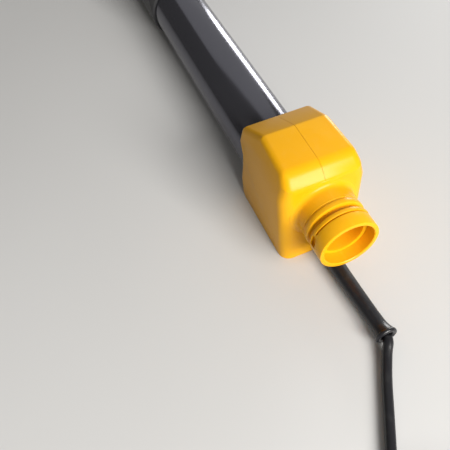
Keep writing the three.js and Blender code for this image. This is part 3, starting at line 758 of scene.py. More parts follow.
REAR_PLACE = at(0, 60, 40)
soft_light("key_light", REAR_PLACE + Vector((0.26, -1.25, 0.80)), REAR_PLACE, (0.95, 0.6), 40, (1, 0.98,
    0.95))
soft_light("fill_light", REAR_PLACE + Vector((-1.2, 0.2, 1.2)), REAR_PLACE, (1.2, 1.2), 0.6, (1, 0.96, 0.9))
soft_light("rim_light", REAR_PLACE + Vector((1.79, 1.60, 0.35)), REAR_PLACE, (0.8, 0.6), 26)
soft_light("head_light", Vector((0.7, 1.3, 1.5)), (0, 0.4, 0), (2.4, 2.4), 9)
world = bpy.data.worlds.new("soft_surround")
bpy.context.scene.world = world
world.use_nodes = True
world.node_tree.nodes["Background"].inputs["Color"].default_value = (1, 0.97, 0.93, 1)
world.node_tree.nodes["Background"].inputs["Strength"].default_value = 0.12
bpy.context.scene.view_settings.view_transform = "Standard"
print("lights:", [o.name for o in bpy.data.objects if o.type == "LIGHT"])

# %% [markdown]
# ## Rear housing
# The housing is two moulded halves screwed together along the tool's middle. Its faces are nearly flat and meet
# in clear facets, so it is cut from a block, one plane at a time, as one would saw a model from foam. The same
# cuts, moved inwards by the wall's thickness, give the hollow.

# %% The housing's planes
WALL = 3
MIDDLE_PLANES = {                              # name: (a point in millimetres, which way is out)
    "rear face": ((0, 32.8, 0), (0, -1, 0.0286)),
    "rear slope": ((0, 34.8, 70), (0, -9.3, 8.7)),
    "top": ((0, 43.5, 79.3), (0, -0.0426, 1)),
    "front slope": ((0, 78.7, 80.8), (0, 13.5, 26.6)),
    "front face": ((0, 106, 40), (0, 1, 0)),
    "front foot": ((0, 106, 5), (0, 0.75, -0.66)),
}
SIDE_PLANES = { "lower side": ((29.6, 60, 0), (1, 0, -0.0198)), "upper side": ((30.75, 60, 58), (1, 0.0352,
    0.2476)), }


def sawn_block(name, inset=0):
    piece = block(name, (-31, 31), (32, 108), (inset, 84))
    cuts = list(MIDDLE_PLANES.values())
    for (x, y, z), (a, b, c) in SIDE_PLANES.values():
        cuts += [((x, y, z), (a, b, c)), ((-x, y, z), (-a, b, c))]
    for point, outward in cuts:
        outward = Vector(outward).normalized()
        shave(piece, Vector(point) - outward * inset, outward)
    return piece


housing = sawn_block("rear_housing")
print("sawn block:", len(housing.data.polygons), "faces")

# %% [markdown]
# The moulded edges are rounded by different amounts. The brow between the top and the rear slope is a broad
# curve that catches the light, the vertical corners at the rear are softer still, and the rest are crisp.

# %% Rounding the housing
def near(value, target, reach=0.8):
    return abs(value - target) < reach


def round_edges(piece, test, width, segments):
    found = pick(piece, test, "EDGE")
    if found:
        bpy.ops.mesh.bevel(offset=width * MM, offset_type="OFFSET", segments=segments, affect="EDGES",
            clamp_overlap=True)
    bpy.ops.object.mode_set(mode="OBJECT")
    return found


def weigh_edges(piece, test, width, widest):
    """Marks edges for one bevel of several widths, all in millimetres."""
    found = pick(piece, test, "EDGE")
    if found:
        bpy.ops.transform.edge_bevelweight(value=width / widest)
    bpy.ops.object.mode_set(mode="OBJECT")
    return found


WIDEST = 8
SCOOP_R = 130                                  # the long shallow scoop down each front corner
EDGE_WIDTHS = {                                # name: (which edges, width of their rounding)
    "rear corner": (lambda x, y, z: abs(x) > 25 and y < 36 and 2 < z < 70, WIDEST),
    "brow corner": (lambda x, y, z: abs(x) > 18 and 36 < y < 41 and z > 66, 5.5),
    "shoulder": (lambda x, y, z: abs(x) > 18 and 45 < y < 76 and z > 76, 3.9),
    "front shoulder": (lambda x, y, z: abs(x) > 18 and 84 < y < 98 and z > 66, 3.9),
    "brow": (lambda x, y, z: abs(x) < 5 and near(y, 43.5) and z > 76, 4.5),
    "slope foot": (lambda x, y, z: abs(x) < 5 and near(y, 34.8) and near(z, 70), 1.6),
    "front corner": (lambda x, y, z: abs(x) > 25 and y > 104 and 10 < z < 66, 3.4),
    "front foot": (lambda x, y, z: y > 98 and z < 8, 1.6),
    "front brow": (lambda x, y, z: abs(x) < 5 and y > 76 and z > 66, 1.3),
}


def rounded_block(piece):
    for name, (test, width) in EDGE_WIDTHS.items():
        print(name, weigh_edges(piece, test, width, WIDEST), end="; ")
    take_up(piece)
    bevel = piece.modifiers.new("moulded_edges", "BEVEL")
    bevel.width, bevel.segments, bevel.limit_method, bevel.use_clamp_overlap = WIDEST * MM, 6, "WEIGHT", False
    bpy.ops.object.modifier_apply(modifier=bevel.name)
    return piece


rounded_block(housing)
print("\nrounded block:", len(housing.data.polygons), "faces")
for sign in (1, -1):                           # cut with a cylinder that lies along the corner
    out = Vector((sign * 0.95, 0.31, 0))
    along = Vector((0.31, -sign * 0.95, 0))
    scoop = Vector((sign * 28.2, 103, 40)) + out * SCOOP_R
    carve(housing, rod("corner_scoop", SCOOP_R, scoop - along * 12, scoop + along * 12, 256))
carve(housing, sawn_block("hollow", WALL))

# %% [markdown]
# ## Spout
# The vacuum hose's spout is round, so it is turned: its wall is drawn once as an outline and spun about the
# spout's axis. From the mouth inwards it has a plain cylinder, a rounded rib, a deep groove for the hose cuff's
# seal, a second rib and a base that flares into the rear face.

# %% Turning the spout
SPOUT_R, SPOUT_BORE, FLARE, FACE_Y = 20.75, 17.6, 3.9, 34.05
FLARE_STEPS = 7
FACE_TILT = math.radians(1.64)                 # the rear face leans, and the flare leans with it
outline = [(36.2, SPOUT_BORE), (0.5, SPOUT_BORE), (0, SPOUT_BORE + 0.5), (0, SPOUT_R - 0.6), (0.2, SPOUT_R -
    0.2), (0.6, SPOUT_R), (9.8, SPOUT_R), (11.2, SPOUT_R), (11.4, SPOUT_R + 0.15), (12.6, SPOUT_R + 0.25),
    (13.6, SPOUT_R + 0.1), (14.2, SPOUT_R - 0.5), (14.5, 18.55), (17.6, 18.45), (17.8, 20.2), (18.2, 20.75),
    (19, 20.95), (20.6, 20.95), (21.5, 20.8), (21.9, 20.35), (22.9, 20.35), (23.1, 20.15), (23.3, 20.45)]
outline += [(FACE_Y - FLARE + FLARE * math.sin(t), 20.55 + FLARE * (1 - math.cos(t))) for t in [math.pi / 2 *
    i / FLARE_STEPS for i in range(FLARE_STEPS + 1)]]
outline += [(FACE_Y + 0.3, 24.9), (FACE_Y + 0.9, 25.2), (36.2, 25.3)]
spout = turned("spout", outline, SPOUT_MIDDLE, axis=Y, steps=144)
flare = pick(spout, lambda x, y, z: y > 30.5 and math.hypot(x, z - SPOUT_Z) > SPOUT_BORE + 1)
print("flare vertices tilted:", flare)
bpy.ops.transform.rotate(value=FACE_TILT, orient_axis="X", center_override=at(0, FACE_Y, SPOUT_Z))
bpy.ops.object.mode_set(mode="OBJECT")
soften(spout, smooth=40)

# %% [markdown]
# A second, narrow groove runs only over the top of the spout, where the hose's catch snaps in, and ends in a
# small square pocket on the left. Both are cut with solids of their own shape.

# %% Catch groove, pocket and bores
carve(housing, spout, "UNION")
carve(housing, rod("spout_cut", SPOUT_BORE, (0, 20, SPOUT_Z), (0, 37, SPOUT_Z), 144))
START, END = math.radians(33), math.radians(154)           # counted from the right, over the top
POCKET_START, POCKET_ANGLE = math.radians(160), math.radians(23)
catch_groove = turned("catch_groove", [(9.8, 19.6), (11.15, 19.6), (11.15, 23), (9.8, 23)], SPOUT_MIDDLE,
    axis=Y, out=Vector((math.cos(START), 0, math.sin(START))), steps=60, angle=END - START)
print("catch groove:", [round(c, 4) for v in (0, 6) for c in catch_groove.bound_box[v]])
carve(housing, catch_groove)
pocket = turned("pocket", [(8, 18.9), (12.6, 18.9), (12.6, 23), (8, 23)], SPOUT_MIDDLE, axis=Y,
    out=Vector((math.cos(POCKET_START), 0, math.sin(POCKET_START))), steps=12, angle=POCKET_ANGLE)
print("pocket:", [round(c, 4) for v in (0, 6) for c in pocket.bound_box[v]])
carve(housing, pocket)
carve(housing, rod("pole_cut", POLE_R + 0.15, (0, 80, POLE_Z), (0, 112, POLE_Z), 96))
carve(housing, rod("boot_cut", 6.0, (0, 25, 7.2), (0, 40, 7.2), 48))

# %% [markdown]
# The halves are parted along the middle. A hair's breadth of gap with a tiny chamfer on each side reads as the
# parting line of a real moulding, which no painted line would. The cut leans a little, so the gap is finest at
# the spout and opens towards the front.

# %% Screw seats and halves
HOUSING_SCREWS = [(99, 60, 24.5), (47, 70, 24), (41.5, 19, 27.5)]     # y, z and how far out the head's seat lies
SCREW_HEAD = 3.4
for y, z, seat in HOUSING_SCREWS:
    boss = rod("boss", 5.2, (0, y, z), (seat + 1.2, y, z), 40)
    carve(housing, boss, "UNION")
for y, z, seat in HOUSING_SCREWS:
    carve(housing, rod("seat", SCREW_HEAD + 0.5, (seat - 1, y, z), (40, y, z), 40))
SEAM_GAP, SEAM_OPENS = 0.012, 0.0009             # each half's share of the gap, and how fast it widens forwards
halves = {"left": -1, "right": 1}
for side, sign in halves.items():
    half = copy_of(housing, "rear_housing_" + side + "_half")
    shave(half, (sign * SEAM_GAP, -30, 0), (-sign, SEAM_OPENS, 0))
    round_edges(half, lambda x, y, z: abs(x) < 0.1 and y > 36, 0.2, 1)
    soften(half, smooth=32)
    place(half, "pole", "yellow_shell", "rear_housing_" + side)
    print(half.name, len(half.data.polygons), "faces")
bpy.data.objects.remove(housing)

# %% [markdown]
# ## Screws
# All the housing's screws are alike, so one is modelled and copied. The head is turned, and its six-lobed recess
# is cut with three crossed bars.

# %% One screw, copied
def screw(name, centre, outward, head=3.4, height=1.8, recess=1.0):
    """A round-headed screw whose seat lies at centre and whose head points outward along an axis."""
    side = Z if abs(outward.dot(Z)) < 0.5 else X
    piece = turned(name, [(-6, 0), (-6, 1.5), (0, 1.5), (0, head), (height * 0.55, head), (height * 0.9, head
        * 0.8), (height, head * 0.55), (height, 0)], centre, outward, side, 40)
    top = Vector(centre) + outward * height
    for i in range(3):
        across = side * math.cos(i * TURN / 6) + outward.cross(side) * math.sin(i * TURN / 6)
        let_go()
        bpy.ops.mesh.primitive_cube_add(size=1, location=at(*top), scale=(head * 1.05 * MM, 0.72 * MM, recess
            * 2 * MM))
        bar = bpy.context.view_layer.objects.active
        bar.rotation_euler = Matrix((across, outward.cross(across), outward)).transposed().to_euler()
        carve(piece, settle("recess"))
    return soften(piece, 0.12, 2, 40)


for number, (y, z, seat) in enumerate(HOUSING_SCREWS, 1):
    place(screw(f"housing_screw_{number}_head", (seat - 1, y, z), X), "pole", "steel_parts",
        f"housing_screw_{number}")
HANDLE_SCREWS = [(366, 64), (530, 63)]
for number, (y, z) in enumerate(HANDLE_SCREWS, 1):
    place(screw(f"handle_screw_{number}_head", (22.6, y, z), X), "pole", "steel_parts",
        f"handle_screw_{number}")
print("screws:", len(HOUSING_SCREWS) + len(HANDLE_SCREWS))

# %% [markdown]
# ## Dust duct, pole and grip
# Inside the spout a duct leads the dust down to the pole. Its round end shows as a ledge in the spout's mouth.
# The pole is a drawn aluminium tube, so it is turned as a ring with small broken edges. Its grip is a rubber
# sleeve with ribs, and its outline is written by a loop.

# %% Duct, pole tube and sleeve grip
DUCT_R, DUCT_BORE = 17.3, 14.6
DUCT_BEND = [(0, 26, 45), (0, 42, 45), (0, 52, 39), (0, 62, 31.5), (0, 72, 28.3)]
duct = swept("dust_duct_tube", [(0, 8.5, 45)] + DUCT_BEND + [(0, 84, 28.3)], DUCT_R, 14, 8)
carve(duct, swept("duct_bore", [(0, 5, 45)] + DUCT_BEND + [(0, 88, 28.3)], DUCT_BORE, 14, 8))
place(soften(duct, 0.35, 2, 50), "pole", "yellow_shell", "dust_duct")

TUBE_BORE, TUBE_REAR, TUBE_FRONT = 23, 70, 858
tube = turned("pole_tube_drawn", [(TUBE_REAR, TUBE_BORE), (TUBE_REAR, POLE_R), (TUBE_FRONT, POLE_R),
    (TUBE_FRONT, TUBE_BORE)], POLE_MIDDLE, Y, X, 128)
place(soften(tube, 0.3, 2, 50), "pole", "anodised_tube", "pole_tube")

GRIP_REAR, GRIP_FRONT, GRIP_R = 620, 760, 28
ribs = []
for i in range(int((GRIP_FRONT - GRIP_REAR - 24) / 5)):
    y = GRIP_REAR + 12 + i * 5
    ribs += [(y, 26.9), (y + 0.8, 27.7), (y + 3.0, 27.7), (y + 3.8, 26.9)]
grip = turned("pole_grip_sleeve", [(GRIP_REAR, POLE_R + 0.1), (GRIP_REAR, 27.2), (GRIP_REAR + 1.2, GRIP_R),
    (GRIP_REAR + 9, GRIP_R), (GRIP_REAR + 10.5, 26.9)] + ribs + [(GRIP_FRONT - 10.5, 26.9), (GRIP_FRONT - 9,
    GRIP_R), (GRIP_FRONT - 1.2, GRIP_R), (GRIP_FRONT, 27.2), (GRIP_FRONT, POLE_R + 0.1)], POLE_MIDDLE, Y, X,
    96)
place(soften(grip, smooth=38), "pole", "rubber_black", "pole_grip")
print("sleeve:", len(ribs) // 4, "ribs")

# %% [markdown]
# ## Cord boot
# The boot is a soft rubber sleeve that ends in a bell with a rolled bead. It is turned like the spout, because a
# spin gives the bead its even section. Its vertices are then shifted, so that it sways a little to the right
# and the bell, which is wider than the sleeve, rests on the floor.

# %% Boot
BOOT_Z, BOOT_FRONT, BOOT_LENGTH, SWAY = 7.2, 34.5, 83.9, 2.5
BELL_START, BELL_RISE = 78, 3                        # how far back the bell lifts off, and over what length
BEAD_Y, BEAD_RADIUS, BEAD_R = -47.9, 5.85, 1.65      # the rolled bead that ends the boot's bell
bead = [(round(BEAD_Y + BEAD_R * math.cos(math.radians(a)), 2), BEAD_RADIUS + BEAD_R *
    math.sin(math.radians(a))) for a in range(40, 281, 20)]
boot_outline = [(BOOT_FRONT, 6.1), (30, 6.05), (24, 5.9), (12, 5.7), (0, 5.55), (-12, 5.45), (-24, 5.35),
    (-32, 5.3), (-38, 5.32), (-41, 5.5), (-43.5, 5.95), (-45.5, 6.5), (-46.6, 6.75)]
boot = turned("cord_boot_moulding", [(BOOT_FRONT, 0)] + boot_outline + bead + [(-47, 4.2), (-46.2, 3.35),
    (-44, 3.35)], (0, 0, BOOT_Z), Y, X, 64)
for point in boot.data.vertices:
    behind = BOOT_FRONT - _millimetres(point.co)[1]
    on_bell = ease((behind - BELL_START) / BELL_RISE)
    point.co.x += SWAY * (behind / BOOT_LENGTH) ** 2 * MM
    point.co.z += (BEAD_RADIUS + BEAD_R + 0.1 - BOOT_Z) * on_bell * MM
place(soften(boot, smooth=50), "pole", "rubber_black", "cord_boot")
print("boot:", len(boot.data.polygons), "faces")

# %% [markdown]
# ## Plug and coil tie
# The plug is one rubber moulding: a ribbed relief sleeve, a waisted body with grip hollows, and two pins with
# sleeved roots. The tie is a strap through the coil's eye.

# %% Plug
PLUG_REAR, PLUG_FACE, PIN_PITCH = 11, 51, 9.5
body = block("plug_moulding", (PLUG_REAR, PLUG_FACE), (TAIL_Y - 16, TAIL_Y + 16), (0.3, 21.7))
for sign in (1, -1):
    shave(body, (PLUG_REAR, TAIL_Y + sign * 9, TAIL_Z), (-0.55, sign, 0))
round_edges(body, lambda x, y, z: abs(y - TAIL_Y) > 8 and near(z, TAIL_Z, 2), 5, 5)
round_edges(body, lambda x, y, z: near(x, PLUG_REAR), 3, 4)
for sign in (1, -1):
    for i in range(5):
        x = 20 + i * 4.2
        carve(body, rod("grip_hollow", 1.2, (x, TAIL_Y + sign * 17.2, 3), (x, TAIL_Y + sign * 17.2, 19), 24))
soften(body, 0.9, 3, 40)
relief_outline = [(PLUG_X, 0), (PLUG_X, 4.0), (PLUG_X + 0.8, 4.5)]
for i in range(4):
    x, r = PLUG_X + 2 + i * 3.6, 4.7 + i * 0.75
    relief_outline += [(x, r), (x + 0.3, r - 1.0), (x + 1.3, r - 1.0), (x + 1.6, r + 0.3)]
relief_outline += [(14, 8.2), (14, 0)]
relief = turned("plug_relief", relief_outline, (0, TAIL_Y, TAIL_Z), X, Y, 48)
carve(body, relief, "UNION")
place(soften(body, smooth=40), "pole", "rubber_black", "plug_body")
pins = []
for side, sign in (("left", 1), ("right", -1)):
    pin = turned(f"plug_pin_{side}_turned", [(48, 0), (48, 2.4), (68.2, 2.4), (69.4, 1.7), (70, 0)], (0,
        TAIL_Y + sign * PIN_PITCH, TAIL_Z), X, Y, 32)
    pins.append(place(soften(pin, smooth=50), "pole", "steel_parts", f"plug_pin_{side}"))
    sleeve = turned(f"plug_pin_{side}_sleeve", [(50.5, 2.3), (50.5, 3.1), (52, 2.75), (60.6, 2.7), (61, 2.45),
        (61, 2.3)], (0, TAIL_Y + sign * PIN_PITCH, TAIL_Z), X, Y, 32)
    pins.append(place(soften(sleeve, smooth=50), "pole", "rubber_black"))

# %% Coil tie
TIE_IN, TIE_OUT = COIL_CENTRE[0] + 24.4, COIL_CENTRE[0] + 54.3
tie = block("coil_tie", (TIE_IN, TIE_OUT), (COIL_CENTRE[1] - 8, COIL_CENTRE[1] + 8), (0, 28.2))
carve(tie, block("tie_hollow", (TIE_IN + 1, TIE_OUT - 1), (COIL_CENTRE[1] - 9, COIL_CENTRE[1] + 9), (0.5,
    27.2)))
round_edges(tie, lambda x, y, z: near(y, COIL_CENTRE[1], 1), 3.5, 5)
end = block("tie_end", (TIE_IN + 7, TIE_OUT - 6), (COIL_CENTRE[1] - 7, COIL_CENTRE[1] + 7), (28.1, 29.1))
round_edges(end, lambda x, y, z: near(z, 28.8, 0.2), 2.4, 5)
tie = joined("coil_tie", [tie, end])
place(soften(tie, 0.3, 2, 40), "pole", "rubber_black")

place(flex, "pole", "cord_rubber", "power_cord", "cord_coil", "cord_tail")
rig.cord(flex, exit=at(2.5, -49.4, 7.6), length=round(FLEX_LENGTH, 2), diameter=CORD_D, far_end="plug",
    stiffness="medium", lay="coiled", with_pieces=[boot, body, tie] + pins)

# %% [markdown]
# ## Switch handle
# Two black half shells clamp round the pole and carry a hump for the switch. The outer form is a hull stretched
# over a sleeve and a hump, as clay would be smoothed over both.

# %% Handle shells
def hull_over(name, pieces):
    """One closed skin stretched over several pieces."""
    piece = joined(name, pieces)
    edit(piece)
    bpy.ops.mesh.select_all(action="SELECT")
    bpy.ops.mesh.convex_hull()
    bpy.ops.mesh.select_all(action="SELECT")
    bpy.ops.mesh.dissolve_limited(angle_limit=math.radians(0.5))
    bpy.ops.object.mode_set(mode="OBJECT")
    return piece


HANDLE_REAR, HANDLE_FRONT, HANDLE_R, HUMP_TOP = 330, 560, 28, 82
sleeve = turned("sleeve", [(HANDLE_REAR, 0), (HANDLE_REAR, 27.2), (HANDLE_REAR + 1.5, HANDLE_R), (HANDLE_FRONT
    - 1.5, HANDLE_R), (HANDLE_FRONT, 27.2), (HANDLE_FRONT, 0)], POLE_MIDDLE, Y, X, 96)
handle = hull_over("handle", [sleeve, block("hump_top", (-21, 21), (362, 528), (80, HUMP_TOP)),
    block("hump_foot", (-26.5, 26.5), (348, 544), (48, 58))])
soften(handle, 2.4, 4, 20)
carve(handle, rod("pole_cut", POLE_R + 0.1, (0, 320, POLE_Z), (0, 570, POLE_Z), 96))
carve(handle, block("cavity", (-18.5, 18.5), (366, 524), (50, 79.4)))
TRIGGER_LOW, TRIGGER_HIGH = (-8.5, 382, 75), (8.5, 469, 87)
carve(handle, block("trigger_cut", (-8.9, 8.9), (381, 471), (66, 95)))
DIAL_Y, DIAL_Z, DIAL_R, DIAL_HALF = 505, 74.5, 12, 4
carve(handle, block("dial_cut", (-DIAL_HALF - 0.6, DIAL_HALF + 0.6), (DIAL_Y - 13, DIAL_Y + 13), (68, 95)))
LOCK_Y, LOCK_Z, LOCK_R = 440, 67, 5
carve(handle, rod("lock_cut", LOCK_R + 0.15, (-40, LOCK_Y, LOCK_Z), (-12, LOCK_Y, LOCK_Z), 48))
carve(handle, rod("lock_dish", LOCK_R + 2.2, (-30, LOCK_Y, LOCK_Z), (-24.2, LOCK_Y, LOCK_Z), 48))
for y, z in HANDLE_SCREWS:
    carve(handle, rod("screw_seat", SCREW_HEAD + 0.6, (22.5, y, z), (40, y, z), 40))
for sign in (1, -1):
    for i in range(9):
        y = 398 + i * 13
        carve(handle, rod("grip_groove", 1.1, (sign * 28.4, y, 18), (sign * 28.4, y, 52), 16))
for side, sign in halves.items():
    half = copy_of(handle, "handle_" + side + "_shell")
    shave(half, (sign * 0.07, 0, 0), (-sign, 0, 0))
    round_edges(half, lambda x, y, z: abs(x) < 0.1, 0.25, 1)
    place(soften(half, smooth=35), "pole", "black_shell", "handle_" + side)
    print(half.name, len(half.data.polygons), "faces")
bpy.data.objects.remove(handle)

# %% [markdown]
# The trigger is a yellow paddle hinged at its front. Its face is crowned and carries grip ridges. The lock button
# is a dished pin, and the speed dial a wheel with a knurled rim, made by pushing in every other facet.

# %% Trigger, lock button and dial
trigger = hull_over("trigger_paddle", [block("foot", (TRIGGER_LOW[0], TRIGGER_HIGH[0]), (386, 469), (75.2,
    82.5)), block("crown", (-6.5, 6.5), (382.5, 462), (76, 86.4))])
round_edges(trigger, lambda x, y, z: z > 80, 1.6, 4)
for i in range(7):
    y = 400 + i * 7
    carve(trigger, rod("ridge_cut", 0.9, (-12, y, 86.9), (12, y, 86.9), 20))
carve(trigger, rod("pin_cut", 1.55, (-20, 465, 78), (20, 465, 78), 24))
place(soften(trigger, 0.4, 2, 30), "trigger", "yellow_shell", "trigger")

lock = turned("lock_button_dished", [(-28.2, 0), (-28.3, 1.5), (-28.5, 3.2), (-28.4, 4.2), (-27.9, 4.9),
    (-27.2, LOCK_R), (-18, LOCK_R), (-18, 6.2), (-16, 6.2), (-16, LOCK_R), (-14, LOCK_R), (-14, 0)], (0,
    LOCK_Y, LOCK_Z), X, Z, 48)
place(soften(lock, smooth=40), "lock", "yellow_shell", "lock_button")

dial = turned("speed_dial_wheel", [(-9, 0), (-9, 2.4), (-3.4, 2.4), (-3.4, 10.4), (-3.9, 11.2), (-3, DIAL_R),
    (3, DIAL_R), (3.9, 11.2), (3.4, 10.4), (3.4, 2.4), (9, 2.4), (9, 0)], (0, DIAL_Y, DIAL_Z), X, Z, 72)


def every_other_facet(x, y, z):
    angle = math.atan2(z - DIAL_Z, y - DIAL_Y) / TURN * 72
    return abs(x) < 1 and math.hypot(y - DIAL_Y, z - DIAL_Z) > 11.5 and int(math.floor(angle)) % 2 == 0


print("knurls:", pick(dial, every_other_facet, "FACE"))
bpy.ops.mesh.inset(thickness=0.12 * MM, depth=-0.45 * MM, use_individual=True)
bpy.ops.object.mode_set(mode="OBJECT")
place(soften(dial, smooth=30), "dial", "black_shell", "speed_dial")

# %% [markdown]
# ## Yoke
# The yoke is a die casting: a socket for the pole with two arms that reach round the head. Each arm is a skin
# stretched from its root to its elbow and on to its tip, with a shallow recess that saves metal.

# %% Yoke
YOKE_REAR, YOKE_FRONT, ARM_IN, ARM_OUT = 820, 872, 66, 74
yoke = turned("yoke_casting", [(YOKE_REAR, 0), (YOKE_REAR, 27), (YOKE_REAR + 1, 28), (YOKE_REAR + 7, 28),
    (YOKE_REAR + 8, 27.2), (YOKE_FRONT - 8, 27.2), (YOKE_FRONT - 7, 28), (YOKE_FRONT - 1, 28), (YOKE_FRONT,
    27), (YOKE_FRONT, 0)], POLE_MIDDLE, Y, X, 96)


def span(sign, a, b):
    return (min(sign * a, sign * b), max(sign * a, sign * b))


for sign in (1, -1):
    outer_arm = span(sign, ARM_IN, ARM_OUT)
    reach = hull_over("arm_reach", [block("root", span(sign, 14, 27), (YOKE_REAR + 8, YOKE_FRONT - 2), (30,
        52)), block("elbow", outer_arm, (YOKE_FRONT + 34, YOKE_FRONT + 52), (57, 75))])
    soften(reach, 2.2, 4, 25)
    fore = hull_over("arm_fore", [block("elbow", outer_arm, (YOKE_FRONT + 34, YOKE_FRONT + 52), (57, 75)),
        block("tip", outer_arm, (HEAD_Y - 9, HEAD_Y + 9), (57.4, 74.6))])
    pick(fore, lambda x, y, z: near(x, sign * ARM_OUT, 0.2), "FACE")
    bpy.ops.mesh.inset(thickness=3.4 * MM, depth=-1.6 * MM)
    bpy.ops.object.mode_set(mode="OBJECT")
    soften(fore, 0.9, 3, 30)
    carve(yoke, reach, "UNION")
    carve(yoke, fore, "UNION")
    boss = turned("arm_boss", [(ARM_IN * sign, 0), (ARM_IN * sign, 11.2), ((ARM_IN + 0.8) * sign, 12),
        ((ARM_OUT - 0.8) * sign, 12), (ARM_OUT * sign, 11.2), (ARM_OUT * sign, 0)], PIVOT, X, Z, 64)
    carve(yoke, boss, "UNION")
    carve(yoke, rod("pin_hole", 4.15, (sign * 60, HEAD_Y, PIVOT_Z), (sign * 80, HEAD_Y, PIVOT_Z), 40))
carve(yoke, rod("pole_cut", POLE_R + 0.1, (0, YOKE_REAR - 5, POLE_Z), (0, YOKE_FRONT + 5, POLE_Z), 96))
place(soften(yoke, 0.25, 2, 45), "pole", "cast_alloy", "yoke")
clamp_screw = screw("socket_screw_head", (0, 838, 56.2), Z, 3.6, 2.6, 1.2)
place(clamp_screw, "pole", "steel_parts", "socket_screw")
print("yoke:", len(yoke.data.polygons), "faces")

# %% [markdown]
# ## Gimbal
# A ring between the yoke and the motor lets the head pitch about one pair of pins and roll about the other.

# %% Gimbal ring and pins
ring = turned("gimbal_ring_casting", [(-3.7, 52), (-4.5, 52.8), (-4.5, 57.2), (-3.7, 58), (-1.6, 58), (-1,
    57.3), (1, 57.3), (1.6, 58), (3.7, 58), (4.5, 57.2), (4.5, 52.8), (3.7, 52)], PIVOT, Z, X, 128)
for sign in (1, -1):
    boss = turned("ring_boss", [(55 * sign, 0), (55 * sign, 9), (65 * sign, 9), (65.6 * sign, 8.3), (65.6 *
        sign, 0)], PIVOT, X, Z, 56)
    carve(ring, boss, "UNION")
carve(ring, rod("pin_hole", 4.1, (-80, HEAD_Y, PIVOT_Z), (80, HEAD_Y, PIVOT_Z), 40))
carve(ring, rod("pin_hole", 3.1, (0, HEAD_Y - 80, PIVOT_Z), (0, HEAD_Y + 80, PIVOT_Z), 40))
place(soften(ring, 0.25, 2, 45), "gimbal", "cast_alloy", "gimbal_ring")


def pivot_pin(name, body, node, axis, side, shaft, stations, out):
    start, seat, end = stations
    head_r = shaft * 2 if shaft > 3.5 else 5.4
    pin = turned(name, [(side * start, 0), (side * start, shaft), (side * seat, shaft), (side * seat, head_r),
        (side * (end - 0.9), head_r), (side * (end - 0.2), head_r - 1), (side * end, head_r - 2), (side * end,
        0)], PIVOT, axis, out, 48)
    socket = turned("hex_socket", [(side * (end - 1.6), 0), (side * (end - 1.6), shaft * 0.72), (side * (end +
        2), shaft * 0.72), (side * (end + 2), 0)], PIVOT, axis, out, 6)
    carve(pin, socket)
    place(soften(pin, 0.15, 2, 40), body, "steel_parts", node)


for side, sign in halves.items():
    pivot_pin("pitch_pin_" + side + "_turned", "pole", "pitch_pin_" + side, X, sign, 4, (56.5, 74.3, 78), Z)
for side, sign in {"rear": -1, "front": 1}.items():
    pivot_pin("roll_pin_" + side + "_turned", "gimbal", "roll_pin_" + side, Y, sign, 3, (43.5, 58.3, 61), Z)
print("ring:", len(ring.data.polygons), "faces")

# %% [markdown]
# ## Motor
# The motor's yellow cup has draught slots near its top, and a black cap with vents closes it. Slots that repeat
# round an axis are made once and copied by a spin that duplicates.

# %% Motor housing and cap
def round_copies(piece, count, middle, axis=Z):
    """Copies the whole piece evenly round an axis, within the same mesh."""
    edit(piece)
    bpy.ops.mesh.select_all(action="SELECT")
    bpy.ops.mesh.spin(steps=count - 1, angle=TURN * (count - 1) / count, dupli=True, center=at(*middle),
        axis=axis)
    bpy.ops.object.mode_set(mode="OBJECT")
    return piece


MOTOR_FOOT, MOTOR_TOP, MOTOR_R, MOTOR_WALL = 30.3, 96, 42, 3.5
cup = turned("motor_cup", [(MOTOR_FOOT, 13.4), (MOTOR_FOOT, MOTOR_R - 3), (MOTOR_FOOT + 0.9, MOTOR_R - 0.9),
    (MOTOR_FOOT + 3, MOTOR_R), (MOTOR_TOP - 26, MOTOR_R), (MOTOR_TOP - 25.4, MOTOR_R - 0.6), (MOTOR_TOP -
    24.4, MOTOR_R - 0.6), (MOTOR_TOP - 23.8, MOTOR_R), (MOTOR_TOP - 0.3, MOTOR_R), (MOTOR_TOP, MOTOR_R - 0.3),
    (MOTOR_TOP, MOTOR_R - MOTOR_WALL), (MOTOR_FOOT + 4, MOTOR_R - MOTOR_WALL), (MOTOR_FOOT + 4, 17),
    (MOTOR_FOOT + 12, 17), (MOTOR_FOOT + 12, 13.4)], HEAD_FOOT, Z, X, 128)
for sign in (1, -1):
    boss = rod("roll_boss", 6, (0, HEAD_Y + sign * 40, PIVOT_Z), (0, HEAD_Y + sign * 50.6, PIVOT_Z), 40)
    carve(cup, boss, "UNION")
carve(cup, rod("pin_hole", 3.1, (0, HEAD_Y - 60, PIVOT_Z), (0, HEAD_Y + 60, PIVOT_Z), 32))
slots = block("slots", (36, 46), (HEAD_Y - 1.4, HEAD_Y + 1.4), (77, 91))
soften(slots, 1.2, 3, 40)
carve(cup, round_copies(slots, 24, HEAD_FOOT))
place(soften(cup, 0.25, 2, 45), "head", "yellow_shell", "motor_housing")

cap = turned("motor_cap_moulding", [(96.3, 11.3), (96.3, 41.4), (96.9, MOTOR_R), (101, MOTOR_R), (102.6,
    41.6), (105, 39.9), (106.8, 37.4), (107.4, 34), (107.9, 20), (108.3, 10), (108.5, 0), (104.5, 0), (104.5,
    11.3)], HEAD_FOOT, Z, X, 128)
vents = block("vents", (17, 35), (HEAD_Y - 1.5, HEAD_Y + 1.5), (99, 112))
soften(vents, 1.3, 3, 40)
carve(cap, round_copies(vents, 20, HEAD_FOOT))
place(soften(cap, 0.25, 2, 45), "head", "black_shell", "motor_cap")
print("motor:", len(cup.data.polygons), "and", len(cap.data.polygons), "faces")

# %% [markdown]
# ## Dust shroud
# A shallow dome covers the pad, and dust leaves it through a port on top. Ribs run out from the middle to keep
# the thin dome stiff.

